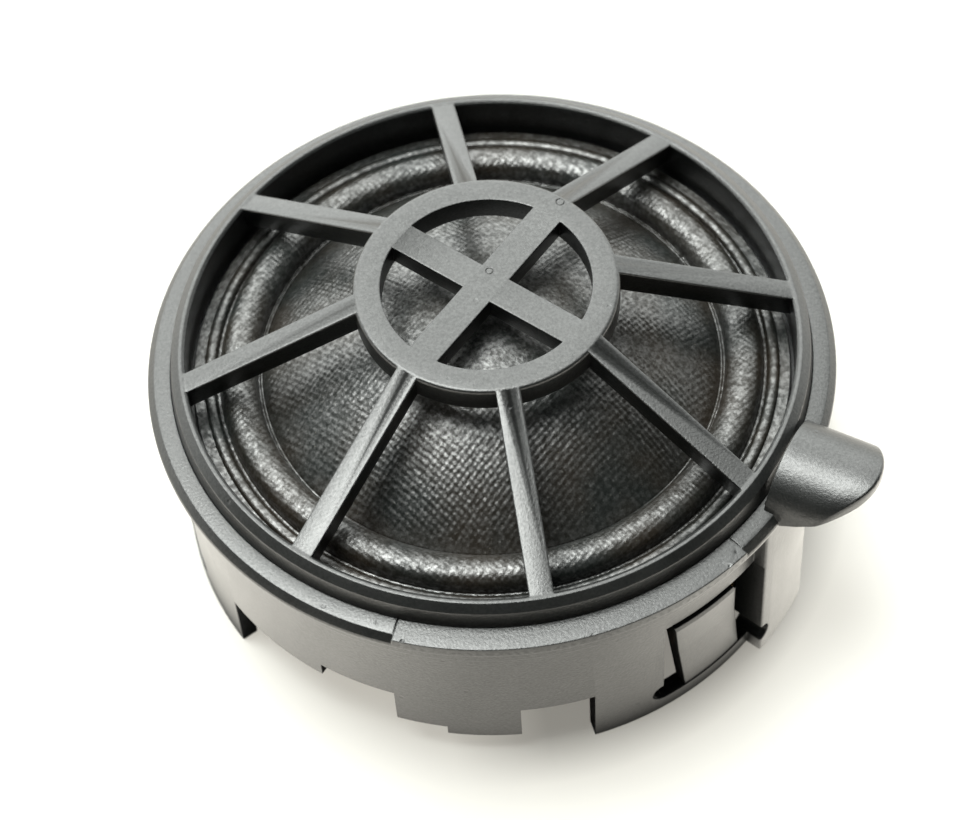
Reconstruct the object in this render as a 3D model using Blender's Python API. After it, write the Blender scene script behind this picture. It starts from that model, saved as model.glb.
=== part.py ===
"""Car tweeter: a 28 mm dome driver in a snap-in round housing with a spoked front grille.

The origin is on the speaker's axis, in the plane of the skirt's rear edge. +Z points out of the
grille, and one grille spoke lies on +X. Heights below are measured from the flange's underside,
which rests on the dash panel; the finished part is raised from there to stand on the origin's plane.
All lengths are in metres.
"""

import math

import bmesh
import bpy
from mathutils import Matrix, Vector

MM = 0.001
STEPS = 64                                  # facets round a full turn

# Flange and skirt of the outer housing
FLANGE_R = 21.0 * MM
FLANGE_T = 0.8 * MM
RIM_IN_R = 19.75 * MM
RIM_OUT_R = 20.35 * MM
RIM_ROUND = ((20.6 * MM, 0.72 * MM), (20.88 * MM, 0.48 * MM), (21.0 * MM, 0.12 * MM))
SKIRT_TOP_R = 20.3 * MM
SKIRT_R = 20.05 * MM
SKIRT_BOTTOM_R = 19.85 * MM
SKIRT_INNER_R = 18.8 * MM
SKIRT_STEP_Z = -1.7 * MM
SKIRT_Z = -13.2 * MM
SHELF_TOP = -1.55 * MM
SHELF_BOTTOM = -3.1 * MM
COLLAR_BOTTOM = -4.5 * MM
COLLAR_IN_R = 16.05 * MM
COLLAR_OUT_R = 17.1 * MM
WIDE_RIM = (-115.0, -54.0)                  # degrees: here the rim is square-edged
# Lower edge of the skirt: (from, to) in degrees, and the height it stops at
SKIRT_EDGE = (
    (-153.0, -131.0, -8.6 * MM),
    (-131.0, -117.0, -7.5 * MM),
    (-117.0, -108.0, -10.5 * MM),
    (-108.0, -95.0, -11.3 * MM),
    (-95.0, -82.0, -8.3 * MM),
    (-20.0, 38.0, -11.3 * MM),
    (74.0, 106.0, -8.3 * MM),
    (106.0, 156.0, -11.3 * MM),
)

OVERLAP = 0.03                              # degrees that neighbouring cutters run into each other

# Thumb tab and the locating key under it
TAB_ANGLE = -36.0
TAB_ROOT_R = 19.65 * MM
TAB_TIP_R = 25.36 * MM
TAB_HALF_WIDTH = 3.57 * MM
TAB_HEIGHT = 3.1 * MM
TAB_WALL = 0.85 * MM
TAB_CROWN = (215.0, 132.0)                  # 1/m: how fast the tip's near and far sides draw back
TAB_LIFT_FROM = 20.7 * MM                   # beyond this radius the tab's lower edge rises
TAB_LIFT = 0.49                             # by this much for each unit of radius
KEY_ANGLES = (-48.5, -34.5)
KEY_R = 20.9 * MM

# Front grille
LIP_Z = 2.4 * MM
LIP_IN_R = 18.5 * MM
LIP_OUT_R = 18.87 * MM
LEDGE_R = 19.2 * MM
LEDGE_Z = 1.2 * MM
GRILLE_FOOT_R = 19.7 * MM
GRILLE_FOOT_Z = 0.82 * MM
GRILLE_BOTTOM = -0.8 * MM
SPOKES = 8
SPOKE_WIDTH = 1.47 * MM
SPOKE_DEPTH = 1.9 * MM
HUB_OUT_R = 7.93 * MM
HUB_IN_R = 6.28 * MM
HUB_TOP = 7.7 * MM
HUB_DEPTH = 1.6 * MM
CROSS_WIDTH = 2.0 * MM
CROSS_ANGLES = (45.0, 135.0)

# Snap latches: tongues that are free at the top and rooted near the skirt's lower edge
LATCH_ANGLES = (-60.0, 60.0, 180.0)
LATCH_HALF = 6.5                            # degrees
LATCH_LEAN = (2.6, -0.7)                    # degrees that the tongue is turned by at its root and top
LATCH_TOP = -3.9 * MM
LATCH_ROOT = -11.9 * MM
LATCH_R = (18.85 * MM, 19.95 * MM)
BARB_R = 20.25 * MM
WINDOW_SPAN = (-8.8, 11.6)                  # degrees from the latch's centre line
WINDOW_TOP = -3.6 * MM
WINDOW_BOTTOM = -12.0 * MM
KEYHOLE_R = 0.75 * MM
KEYHOLE_Z = -11.2 * MM

# Diaphragm, coil and surround
DOME_R = 14.0 * MM
DOME_EDGE_Z = -0.3 * MM
DOME_APEX = 5.0 * MM
DOME_T = 0.25 * MM
CLOTH_T = 0.2 * MM
ROLL = (14.25 * MM, 16.55 * MM)
ROLL_HEIGHT = 1.25 * MM
RIDGE = (16.85 * MM, 17.55 * MM)
RIDGE_HEIGHT = 0.6 * MM
CLOTH_OUT_R = 18.2 * MM
CLOTH_Z = -0.38 * MM
RING_IN_R = 16.8 * MM
RING_STEP_R = 18.3 * MM
RING_OUT_R = 19.4 * MM
RING_Z = (-1.5 * MM, -1.0 * MM, -0.58 * MM)
FORMER_R = (13.7 * MM, 13.88 * MM)
FORMER_Z = (-3.6 * MM, -0.75 * MM)
COIL_R = (13.93 * MM, 14.3 * MM)
COIL_Z = (-3.3 * MM, -1.5 * MM)

# Magnet system
YOKE_OUT_R = 15.9 * MM
YOKE_IN_R = 14.55 * MM
YOKE_Z = (-7.8 * MM, -6.25 * MM, -1.75 * MM)
MAGNET_R = 12.8 * MM
MAGNET_Z = (-6.2 * MM, -3.55 * MM)
POLE_R = 13.45 * MM
POLE_Z = (-3.5 * MM, -1.7 * MM)
PAD_R = 12.0 * MM
PAD_Z = (-1.65 * MM, 0.0)

# Terminal board, connector and capacitor
BOARD_R = 18.3 * MM
BOARD_Z = (-9.4 * MM, -8.4 * MM)
BOARD_BORE_R = 5.2 * MM
BOARD_NOTCH_R = 15.2 * MM                   # bottom of the notch that clears each latch
BOARD_NOTCH_SPAN = (-8.0, 13.0)             # degrees from the latch's centre line
POST_ANGLES = (0.0, 120.0, 240.0)
POST_R = 0.9 * MM
POST_AT = 18.0 * MM
STAKE_R = 0.5 * MM
STAKE_AT = 17.4 * MM
STAKE_HOLE_R = 0.65 * MM
CONNECTOR_X = 4.6 * MM                      # half width
CONNECTOR_Y = (8.0 * MM, 17.4 * MM)
CONNECTOR_Z = (-13.1 * MM, -9.45 * MM)
CONNECTOR_WALL = 0.8 * MM
PIN_X = 1.25 * MM                           # half of the 2.5 mm pitch
PIN_HALF = 0.32 * MM
PIN_LEG_Y = 7.0 * MM
PIN_TIP_Y = 14.5 * MM
PIN_Z = -11.3 * MM
PIN_TOP = -7.95 * MM
CAPACITOR_R = 2.5 * MM
CAPACITOR_HALF = 5.0 * MM
CAPACITOR_Y = -9.5 * MM
CAPACITOR_Z = -10.45 * MM
CUTOUT = (5.8 * MM, 2.9 * MM)               # half sizes of the board's opening for it
CAP_WIRE_R = 0.3 * MM
CAP_WIRE_X = 6.8 * MM

# Terminal strips beside the coil, and the flexible leads to them
STRIP_ANGLES = {"positive": 81.0, "negative": 99.0}
STRIP_HALF = 0.8 * MM
STRIP_T = 0.3 * MM
STRIP_IN_R = 16.35 * MM
STRIP_R = 17.35 * MM
STRIP_Z = (-8.3 * MM, -1.35 * MM, -1.05 * MM)
STRIP_CLEARANCE = 0.2 * MM
LEAD_R = 0.12 * MM
LEAD_FROM_R = 14.15 * MM
LEAD_TO_R = 16.2 * MM
LEAD_Z = -1.2 * MM
LEAD_SAG = 0.12 * MM


def clear_scene():
    for obj in list(bpy.data.objects):
        bpy.data.objects.remove(obj, do_unlink=True)


def material(name, colour, roughness, metallic=0.0):
    made = bpy.data.materials.new(name)
    made.use_nodes = True
    shader = made.node_tree.nodes["Principled BSDF"]
    shader.inputs["Base Color"].default_value = (*colour, 1.0)
    shader.inputs["Roughness"].default_value = roughness
    shader.inputs["Metallic"].default_value = metallic
    made.diffuse_color = (*colour, 1.0)
    return made


def object_from(bm, name, finish=None, smooth=True):
    """Closes the bmesh into a named object. A shape with no finish is a cutter or an addition."""
    bmesh.ops.remove_doubles(bm, verts=bm.verts, dist=1e-7)
    bmesh.ops.recalc_face_normals(bm, faces=bm.faces)
    mesh = bpy.data.meshes.new(name)
    bm.to_mesh(mesh)
    bm.free()
    obj = bpy.data.objects.new(name, mesh)
    bpy.context.scene.collection.objects.link(obj)
    if finish is None:
        obj.hide_render = True
        obj.display_type = "WIRE"
    else:
        mesh.materials.append(finish)
        if smooth:
            mesh.shade_smooth()
            mesh.set_sharp_from_angle(angle=math.radians(35))
    return obj


def lathe(name, profile, finish=None, steps=STEPS):
    """Turns a profile of (radius, height) round Z. It is closed unless both its ends are on the axis."""
    bm = bmesh.new()
    verts = [bm.verts.new((r, 0.0, z)) for r, z in profile]
    edges = [bm.edges.new(pair) for pair in zip(verts, verts[1:])]
    if profile[0][0] > 0.0 or profile[-1][0] > 0.0:
        edges.append(bm.edges.new((verts[-1], verts[0])))
    bmesh.ops.spin(bm, geom=verts + edges, cent=(0, 0, 0), axis=(0, 0, 1),
                   angle=math.tau, steps=steps)
    return object_from(bm, name, finish)


def ring_profile(inner, outer, bottom, top):
    return [(inner, bottom), (outer, bottom), (outer, top), (inner, top)]


def disc_profile(radius, bottom, top):
    return [(0.0, bottom), (radius, bottom), (radius, top), (0.0, top)]


def sector(name, profile, start, end, finish=None):
    """Sweeps a closed profile of (radius, height) from one angle to another, in degrees."""
    bm = bmesh.new()
    face = bm.faces.new([bm.verts.new((r, 0.0, z)) for r, z in profile])
    bmesh.ops.rotate(bm, verts=face.verts, cent=(0, 0, 0),
                     matrix=Matrix.Rotation(math.radians(start), 3, "Z"))
    steps = max(2, round((end - start) / 360.0 * STEPS))
    geom = [face, *face.edges, *face.verts]
    bmesh.ops.spin(bm, geom=geom, cent=(0, 0, 0), axis=(0, 0, 1),
                   angle=math.radians(end - start), steps=steps)
    return object_from(bm, name, finish)


def hull(name, points, finish=None):
    """The convex solid round some points, with flat faces."""
    bm = bmesh.new()
    for point in points:
        bm.verts.new(point)
    bmesh.ops.convex_hull(bm, input=bm.verts)
    return object_from(bm, name, finish, smooth=False)


def block(name, low, high, finish=None):
    xs, ys, zs = zip(low, high)
    return hull(name, [(x, y, z) for x in xs for y in ys for z in zs], finish)


def rod(name, start, end, radius, finish=None, sides=12):
    bm = bmesh.new()
    start, end = Vector(start), Vector(end)
    along = end - start
    turn = Vector((0, 0, 1)).rotation_difference(along).to_matrix().to_4x4()
    place = Matrix.Translation((start + end) / 2) @ turn
    bmesh.ops.create_cone(bm, cap_ends=True, segments=sides, radius1=radius, radius2=radius,
                          depth=along.length, matrix=place)
    return object_from(bm, name, finish)


def tube_along(name, points, radius, finish, sides=8):
    """A round wire through the points."""
    curve = bpy.data.curves.new(name, "CURVE")
    curve.dimensions = "3D"
    curve.bevel_depth = radius
    curve.bevel_resolution = max(0, sides // 4 - 1)
    curve.use_fill_caps = True
    line = curve.splines.new("POLY")
    line.points.add(len(points) - 1)
    for spot, point in zip(line.points, points):
        spot.co = (*point, 1.0)
    curve.materials.append(finish)
    wire = bpy.data.objects.new(name, curve)
    bpy.context.scene.collection.objects.link(wire)
    return wire


def combine(obj, others, operation):
    for other in others:
        step = obj.modifiers.new(f"{operation.lower()} {other.name}", "BOOLEAN")
        step.operation = operation
        step.solver = "EXACT"
        step.object = other


def join(obj, *others):
    combine(obj, others, "UNION")


def cut(obj, *others):
    combine(obj, others, "DIFFERENCE")


def turned(obj, degrees):
    obj.rotation_euler.z = math.radians(degrees)
    return obj


def polar(radius, degrees, z):
    angle = math.radians(degrees)
    return (radius * math.cos(angle), radius * math.sin(angle), z)


def arc(r_from, r_to, height, base, count):
    """Points of a half roll over r_from..r_to, rising by height above base."""
    middle, half = (r_from + r_to) / 2, (r_to - r_from) / 2
    angles = [math.pi * (1 - i / count) for i in range(count + 1)]
    return [(middle + half * math.cos(a), base + height * math.sin(a)) for a in angles]


def thickened(path, thickness):
    """A closed profile that follows an open path, thickness / 2 to each side."""
    upper, lower = [], []
    for i, point in enumerate(path):
        before = Vector(path[max(i - 1, 0)])
        after = Vector(path[min(i + 1, len(path) - 1)])
        along = (after - before).normalized()
        normal = Vector((-along.y, along.x)) * thickness / 2
        upper.append(tuple(Vector(point) + normal))
        lower.append(tuple(Vector(point) - normal))
    return upper + lower[::-1]


def dome_path(count=10):
    """From the apex to the edge of the spherical cap."""
    rise = DOME_APEX - DOME_EDGE_Z
    radius = (DOME_R ** 2 + rise ** 2) / (2 * rise)
    widest = math.asin(DOME_R / radius)
    centre = DOME_APEX - radius
    angles = [widest * i / count for i in range(count + 1)]
    return [(radius * math.sin(a), centre + radius * math.cos(a)) for a in angles]


def make_grille(plastic):
    """Lip wall, hub ring, spokes that slope up to the hub, and the cross inside it."""
    wall = [
        (LIP_IN_R, LIP_Z), (LIP_OUT_R, LIP_Z), (LIP_OUT_R + 0.05 * MM, LEDGE_Z + 0.15 * MM),
        (LEDGE_R, LEDGE_Z), (GRILLE_FOOT_R, GRILLE_FOOT_Z),
        (GRILLE_FOOT_R, GRILLE_BOTTOM), (LIP_IN_R, GRILLE_BOTTOM),
    ]
    grille = lathe("front_grille", wall, plastic)
    bevel = 0.25 * MM
    hub_bottom = HUB_TOP - HUB_DEPTH
    hub = lathe("hub_ring", [
        (HUB_IN_R, hub_bottom), (HUB_OUT_R, hub_bottom), (HUB_OUT_R, HUB_TOP - bevel),
        (HUB_OUT_R - bevel, HUB_TOP), (HUB_IN_R, HUB_TOP),
    ])
    outer, inner = LIP_OUT_R, HUB_OUT_R - 0.8 * MM
    slope = (HUB_TOP - LIP_Z) / (LIP_IN_R - HUB_OUT_R)
    half = SPOKE_WIDTH / 2
    pieces = [hub]
    for i in range(SPOKES):
        spoke = hull(f"spoke_{i}", [
            (r, y, z) for y in (-half, half)
            for r, z in ((outer, LIP_Z - SPOKE_DEPTH), (outer, LIP_Z - 0.02 * MM),
                         (LIP_IN_R, LIP_Z - 0.02 * MM),
                         (HUB_OUT_R, LIP_Z + slope * (LIP_IN_R - HUB_OUT_R) - 0.05 * MM),
                         (inner, HUB_TOP - 0.1 * MM), (inner, hub_bottom + 0.1 * MM))
        ])
        pieces.append(turned(spoke, 360.0 / SPOKES * i))
    reach, half = HUB_IN_R + 0.6 * MM, CROSS_WIDTH / 2
    for angle in CROSS_ANGLES:
        bar = block(f"cross_{angle:.0f}", (-reach, -half, hub_bottom + 0.15 * MM),
                    (reach, half, HUB_TOP - 0.03 * MM))
        pieces.append(turned(bar, angle))
    join(grille, *pieces)
    return grille


def tab_shell():
    """The half-round thumb tab: an arch open underneath, whose lower edge rises to its tip."""
    def arch(half, height, count=10):
        angles = [math.pi * i / count for i in range(count + 1)]
        return [(half * math.cos(a), height * math.sin(a)) for a in angles]

    outer = arch(TAB_HALF_WIDTH, TAB_HEIGHT)
    inner = arch(TAB_HALF_WIDTH - TAB_WALL, TAB_HEIGHT - TAB_WALL)[::-1]
    bm = bmesh.new()
    face = bm.faces.new([bm.verts.new((TAB_ROOT_R, y, z)) for y, z in outer + inner])
    grown = bmesh.ops.extrude_face_region(bm, geom=[face])["geom"]
    moved = [v for v in grown if isinstance(v, bmesh.types.BMVert)]
    bmesh.ops.translate(bm, verts=moved, vec=(TAB_TIP_R - TAB_ROOT_R, 0, 0))
    for vert in moved:
        vert.co.x -= TAB_CROWN[vert.co.y > 0.0] * vert.co.y ** 2
    tab = turned(object_from(bm, "thumb_tab"), TAB_ANGLE)
    beyond, side, below = TAB_TIP_R + 1 * MM, TAB_HALF_WIDTH + 1 * MM, -1 * MM
    wedge = hull("tab_lift", [(x, y, z) for y in (-side, side) for x, z in (
        (TAB_LIFT_FROM, 0.0), (beyond, TAB_LIFT * (beyond - TAB_LIFT_FROM)),
        (beyond, below), (TAB_LIFT_FROM, below))])
    cut(tab, turned(wedge, TAB_ANGLE))
    return tab


def skirt_cutters():
    """Sectors that step the skirt's lower edge and open a window round each latch."""
    def band(name, start, end, bottom, top):
        profile = ring_profile(SKIRT_INNER_R - 0.5 * MM, FLANGE_R + 1 * MM, bottom, top)
        return sector(name, profile, start, end)

    below = SKIRT_Z - 1 * MM
    cutters = [band(f"edge_{i}", start - OVERLAP, end + OVERLAP, below, z)
               for i, (start, end, z) in enumerate(SKIRT_EDGE)]
    for i, angle in enumerate(LATCH_ANGLES, 1):
        low, high = (angle + side for side in WINDOW_SPAN)
        cutters.append(band(f"window_{i}", low, high, WINDOW_BOTTOM, WINDOW_TOP))
        for side, at in (("a", low), ("b", high)):
            cutters.append(rod(f"keyhole_{i}{side}", polar(SKIRT_INNER_R - 1 * MM, at, KEYHOLE_Z),
                               polar(FLANGE_R, at, KEYHOLE_Z), KEYHOLE_R))
    return cutters


def make_housing(plastic):
    """Flange, stepped skirt, inner shelf with the yoke's collar, thumb tab, key and board posts."""
    profile = [
        (RIM_IN_R, FLANGE_T), (RIM_OUT_R, FLANGE_T), *RIM_ROUND, (FLANGE_R, 0.0), (SKIRT_TOP_R, 0.0),
        (SKIRT_TOP_R, SKIRT_STEP_Z), (SKIRT_R, SKIRT_STEP_Z - 0.25 * MM),
        (SKIRT_BOTTOM_R, SKIRT_Z), (SKIRT_INNER_R, SKIRT_Z), (SKIRT_INNER_R, SHELF_BOTTOM),
        (COLLAR_OUT_R, SHELF_BOTTOM), (COLLAR_OUT_R, COLLAR_BOTTOM),
        (COLLAR_IN_R, COLLAR_BOTTOM), (COLLAR_IN_R, SHELF_TOP), (RIM_IN_R, SHELF_TOP),
    ]
    housing = lathe("outer_housing", profile, plastic)
    rim = sector("square_rim", ring_profile(RIM_OUT_R - 0.2 * MM, FLANGE_R - 0.01 * MM,
                                            0.1 * MM, FLANGE_T - 0.01 * MM), *WIDE_RIM)
    key = sector("locating_key", ring_profile(RIM_IN_R + 0.03 * MM, KEY_R, SKIRT_Z, 0.3 * MM),
                 *KEY_ANGLES)
    posts = []
    for i, angle in enumerate(POST_ANGLES):
        posts.append(rod(f"post_{i}", polar(POST_AT, angle, BOARD_Z[1] + 0.05 * MM),
                         polar(POST_AT, angle, SHELF_BOTTOM + 0.5 * MM), POST_R))
        posts.append(rod(f"stake_{i}", polar(STAKE_AT, angle, BOARD_Z[0] - 0.4 * MM),
                         polar(STAKE_AT, angle, SHELF_BOTTOM + 0.5 * MM), STAKE_R))
    join(housing, rim, tab_shell(), key)
    cut(housing, *skirt_cutters(), *strip_slots())
    join(housing, *posts)
    return housing


def strip_slots():
    """Clearance through the shelf for the two terminal strips."""
    half, gap = STRIP_HALF + STRIP_CLEARANCE, STRIP_CLEARANCE
    slots = []
    for sign, angle in STRIP_ANGLES.items():
        slot = block(f"slot_{sign}", (STRIP_R - gap, -half, SHELF_BOTTOM - 2 * MM),
                     (STRIP_R + STRIP_T + gap, half, SHELF_TOP + 1 * MM))
        slots.append(turned(slot, angle))
    return slots


def make_latch(index, angle, plastic):
    """A leaning tongue with a wedge barb at its free end; its origin is on the flexing root."""
    inner, outer = LATCH_R
    profile = [
        (inner, LATCH_ROOT), (outer - 0.15 * MM, LATCH_ROOT), (outer, LATCH_TOP - 3.2 * MM),
        (BARB_R, LATCH_TOP - 0.5 * MM), (BARB_R - 0.1 * MM, LATCH_TOP), (inner, LATCH_TOP),
    ]
    latch = sector(f"snap_latch_{index}", profile, -LATCH_HALF, LATCH_HALF, plastic)
    for vert in latch.data.vertices:
        share = (vert.co.z - LATCH_ROOT) / (LATCH_TOP - LATCH_ROOT)
        lean = LATCH_LEAN[0] + (LATCH_LEAN[1] - LATCH_LEAN[0]) * share
        vert.co.rotate(Matrix.Rotation(math.radians(lean), 3, "Z"))
    pivot = Vector(((inner + outer) / 2, 0.0, LATCH_ROOT))
    latch.data.transform(Matrix.Translation(-pivot))
    root = bpy.data.objects.new(f"latch_root_{index}", None)
    bpy.context.scene.collection.objects.link(root)
    root.location = polar(pivot.x, angle, pivot.z)
    root.rotation_euler.z = math.radians(angle)
    latch.parent = root
    return latch


def make_surround(cloth):
    """Cloth from the dome's edge over the half roll and the clamped ridge to the ring."""
    path = [(DOME_R + 0.12 * MM, CLOTH_Z)]
    path += arc(*ROLL, ROLL_HEIGHT, CLOTH_Z, 8)
    path += arc(*RIDGE, RIDGE_HEIGHT, CLOTH_Z, 4)
    path.append((CLOTH_OUT_R, CLOTH_Z))
    return lathe("diaphragm_surround", thickened(path, CLOTH_T), cloth, steps=48)


def make_dome(cloth):
    outer = dome_path()
    inner = [(r - DOME_T * r / DOME_R, z - DOME_T) for r, z in outer]
    return lathe("diaphragm_dome", outer + inner[::-1], cloth, steps=48)


def make_ring(plastic):
    bottom, step, top = RING_Z
    ring = lathe("diaphragm_ring", [
        (RING_IN_R, bottom), (RING_OUT_R, bottom), (RING_OUT_R, step), (RING_STEP_R, step),
        (RING_STEP_R, top), (RING_IN_R, top),
    ], plastic)
    half = STRIP_HALF + STRIP_CLEARANCE
    for sign, angle in STRIP_ANGLES.items():
        notch = block(f"notch_{sign}", (RING_IN_R - 1 * MM, -half, bottom - 1 * MM),
                      (STRIP_R + STRIP_T + STRIP_CLEARANCE, half, STRIP_Z[2] + 0.15 * MM))
        cut(ring, turned(notch, angle))
    return ring


def make_motor(steel, nickel, felt):
    """Yoke cup with the magnet, pole plate and damping pad stacked inside it."""
    bottom, floor, rim = YOKE_Z
    chamfer = 0.4 * MM
    lathe("yoke_cup", [
        (0.0, bottom), (YOKE_OUT_R - chamfer, bottom), (YOKE_OUT_R, bottom + chamfer),
        (YOKE_OUT_R, rim), (YOKE_IN_R, rim), (YOKE_IN_R, floor), (0.0, floor),
    ], steel)
    lathe("magnet", disc_profile(MAGNET_R, *MAGNET_Z), nickel, steps=48)
    lathe("pole_plate", disc_profile(POLE_R, *POLE_Z), steel)
    lathe("damping_pad", disc_profile(PAD_R, *PAD_Z), felt, steps=48)


def make_coil(paper, copper):
    lathe("coil_former", ring_profile(*FORMER_R, *FORMER_Z), paper, steps=48)
    lathe("voice_coil", ring_profile(*COIL_R, *COIL_Z), copper, steps=48)


def make_strip(sign, angle, brass):
    """An L of sheet brass: a foot beside the coil, and a leg down to the board."""
    bottom, foot, top = STRIP_Z
    strip = block(f"terminal_strip_{sign}", (STRIP_R, -STRIP_HALF, bottom),
                  (STRIP_R + STRIP_T, STRIP_HALF, top), brass)
    bend = block(f"strip_foot_{sign}", (STRIP_IN_R, -STRIP_HALF, foot),
                 (STRIP_R + STRIP_T / 2, STRIP_HALF, top))
    join(turned(strip, angle), turned(bend, angle))


def make_lead(sign, angle, copper):
    """A slack wire from the former to the foot of its terminal strip."""
    count = 6
    points = []
    for i in range(count + 1):
        share = i / count
        radius = LEAD_FROM_R + share * (LEAD_TO_R - LEAD_FROM_R)
        points.append(polar(radius, angle, LEAD_Z - LEAD_SAG * math.sin(math.pi * share)))
    tube_along(f"lead_wire_{sign}", points, LEAD_R, copper)


def make_board(laminate):
    """Round board, notched behind each latch, with the capacitor's opening and the holes."""
    board = lathe("terminal_board", ring_profile(BOARD_BORE_R, BOARD_R, *BOARD_Z), laminate)
    low, high = BOARD_Z[0] - 1 * MM, BOARD_Z[1] + 1 * MM
    cutters = [block("board_opening", (-CUTOUT[0], CAPACITOR_Y - CUTOUT[1], low),
                     (CUTOUT[0], CAPACITOR_Y + CUTOUT[1], high))]
    for i, angle in enumerate(LATCH_ANGLES, 1):
        notch = ring_profile(BOARD_NOTCH_R, BOARD_R + 1 * MM, low, high)
        cutters.append(sector(f"board_notch_{i}", notch, *(angle + a for a in BOARD_NOTCH_SPAN)))
    for i, angle in enumerate(POST_ANGLES):
        cutters.append(rod(f"stake_hole_{i}", polar(STAKE_AT, angle, low),
                           polar(STAKE_AT, angle, high), STAKE_HOLE_R))
    for side in (-1, 1):
        cutters.append(rod(f"pin_hole_{side}", (side * PIN_X, PIN_LEG_Y, low),
                           (side * PIN_X, PIN_LEG_Y, high), 0.6 * MM))
    cut(board, *cutters)


def make_connector(plastic, tin):
    """Two-way socket open towards +Y, and its right-angled pins."""
    (y0, y1), (z0, z1), wall = CONNECTOR_Y, CONNECTOR_Z, CONNECTOR_WALL
    shell = block("connector_housing", (-CONNECTOR_X, y0, z0), (CONNECTOR_X, y1, z1), plastic)
    cavity = block("connector_cavity", (-CONNECTOR_X + wall, y0 + 1.2 * MM, z0 + wall),
                   (CONNECTOR_X - wall, y1 + 1 * MM, z1 - wall))
    cut(shell, cavity)
    gap = PIN_HALF + 0.12 * MM
    for sign, side in (("positive", 1), ("negative", -1)):
        x = side * PIN_X
        cut(shell, block(f"pin_way_{sign}", (x - gap, y0 - 1 * MM, PIN_Z - gap),
                         (x + gap, y0 + 2 * MM, PIN_Z + gap)))
        pin = block(f"connector_pin_{sign}", (x - PIN_HALF, PIN_LEG_Y - PIN_HALF, PIN_Z - PIN_HALF),
                    (x + PIN_HALF, PIN_TIP_Y, PIN_Z + PIN_HALF), tin)
        join(pin, block(f"pin_leg_{sign}",
                        (x - PIN_HALF, PIN_LEG_Y - PIN_HALF, PIN_Z),
                        (x + PIN_HALF, PIN_LEG_Y + PIN_HALF, PIN_TOP)))


def make_capacitor(sleeve):
    """Axial capacitor with a wire from each end up to the board."""
    cap = rod("crossover_capacitor", (-CAPACITOR_HALF, CAPACITOR_Y, CAPACITOR_Z),
              (CAPACITOR_HALF, CAPACITOR_Y, CAPACITOR_Z), CAPACITOR_R, sleeve, sides=24)
    for side in (-1, 1):
        end = (side * CAP_WIRE_X, CAPACITOR_Y, CAPACITOR_Z)
        along = rod(f"cap_wire_{side}", (side * (CAPACITOR_HALF - 1 * MM), *end[1:]), end,
                    CAP_WIRE_R, sides=8)
        up = rod(f"cap_leg_{side}", (end[0] - side * 0.15 * MM, end[1], end[2] - CAP_WIRE_R / 2),
                 (end[0] - side * 0.15 * MM, end[1], BOARD_Z[0] - 0.06 * MM), CAP_WIRE_R, sides=8)
        join(cap, along, up)


def main():
    clear_scene()
    plastic = material("black_plastic", (0.018, 0.019, 0.020), 0.42)
    cloth = material("coated_cloth", (0.012, 0.011, 0.010), 0.55)
    steel = material("zinc_plated_steel", (0.52, 0.53, 0.55), 0.35, 1.0)
    nickel = material("nickel_plate", (0.60, 0.59, 0.56), 0.25, 1.0)
    felt = material("felt", (0.05, 0.05, 0.055), 0.95)
    paper = material("former_foil", (0.45, 0.30, 0.12), 0.5)
    copper = material("enamelled_copper", (0.55, 0.22, 0.08), 0.35, 1.0)
    brass = material("tinned_brass", (0.70, 0.66, 0.55), 0.3, 1.0)
    laminate = material("board_laminate", (0.16, 0.12, 0.05), 0.6)
    sleeve = material("capacitor_sleeve", (0.02, 0.05, 0.12), 0.35)
    make_grille(plastic)
    make_housing(plastic)
    for index, angle in enumerate(LATCH_ANGLES, 1):
        make_latch(index, angle, plastic)
    make_dome(cloth)
    make_surround(cloth)
    make_ring(plastic)
    make_coil(paper, copper)
    make_motor(steel, nickel, felt)
    for sign, angle in STRIP_ANGLES.items():
        make_strip(sign, angle, brass)
        make_lead(sign, angle, copper)
    make_board(laminate)
    make_connector(plastic, brass)
    make_capacitor(sleeve)
    for obj in bpy.data.objects:
        if obj.parent is None:
            obj.location.z -= SKIRT_Z


main()
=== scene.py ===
"""Looks of the car tweeter: moulded plastic, woven diaphragm, motor and terminals, in studio light.

Shapes are drawn in millimetres, with heights measured from the flange's underside. raise_seat() turns
them into metres in the part's own frame, whose origin is on the speaker's axis in the plane of the
skirt's rear edge. +Z points out of the grille, and one grille spoke lies on +X.
"""

import math
import random

import bmesh
import bpy
import numpy as np
from mathutils import Matrix, Vector


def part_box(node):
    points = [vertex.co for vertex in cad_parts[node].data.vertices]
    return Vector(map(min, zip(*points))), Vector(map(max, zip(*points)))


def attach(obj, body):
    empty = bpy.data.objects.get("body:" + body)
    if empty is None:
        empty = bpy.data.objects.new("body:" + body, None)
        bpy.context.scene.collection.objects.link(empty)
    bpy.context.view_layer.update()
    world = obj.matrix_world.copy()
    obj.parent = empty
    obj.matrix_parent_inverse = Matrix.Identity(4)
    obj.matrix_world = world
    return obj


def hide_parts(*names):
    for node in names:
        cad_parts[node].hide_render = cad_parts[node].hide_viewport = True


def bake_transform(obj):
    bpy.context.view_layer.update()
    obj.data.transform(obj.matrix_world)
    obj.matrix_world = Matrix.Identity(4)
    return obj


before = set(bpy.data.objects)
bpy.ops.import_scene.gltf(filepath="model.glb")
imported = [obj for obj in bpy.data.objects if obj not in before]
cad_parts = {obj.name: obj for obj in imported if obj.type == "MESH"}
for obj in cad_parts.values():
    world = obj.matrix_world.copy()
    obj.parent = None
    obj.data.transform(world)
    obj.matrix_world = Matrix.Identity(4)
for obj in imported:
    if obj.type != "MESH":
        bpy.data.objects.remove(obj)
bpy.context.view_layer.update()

MM = 0.001  # a millimetre, for what is given in metres
TURN = 240  # steps round a full turn on the large visible pieces

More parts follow.
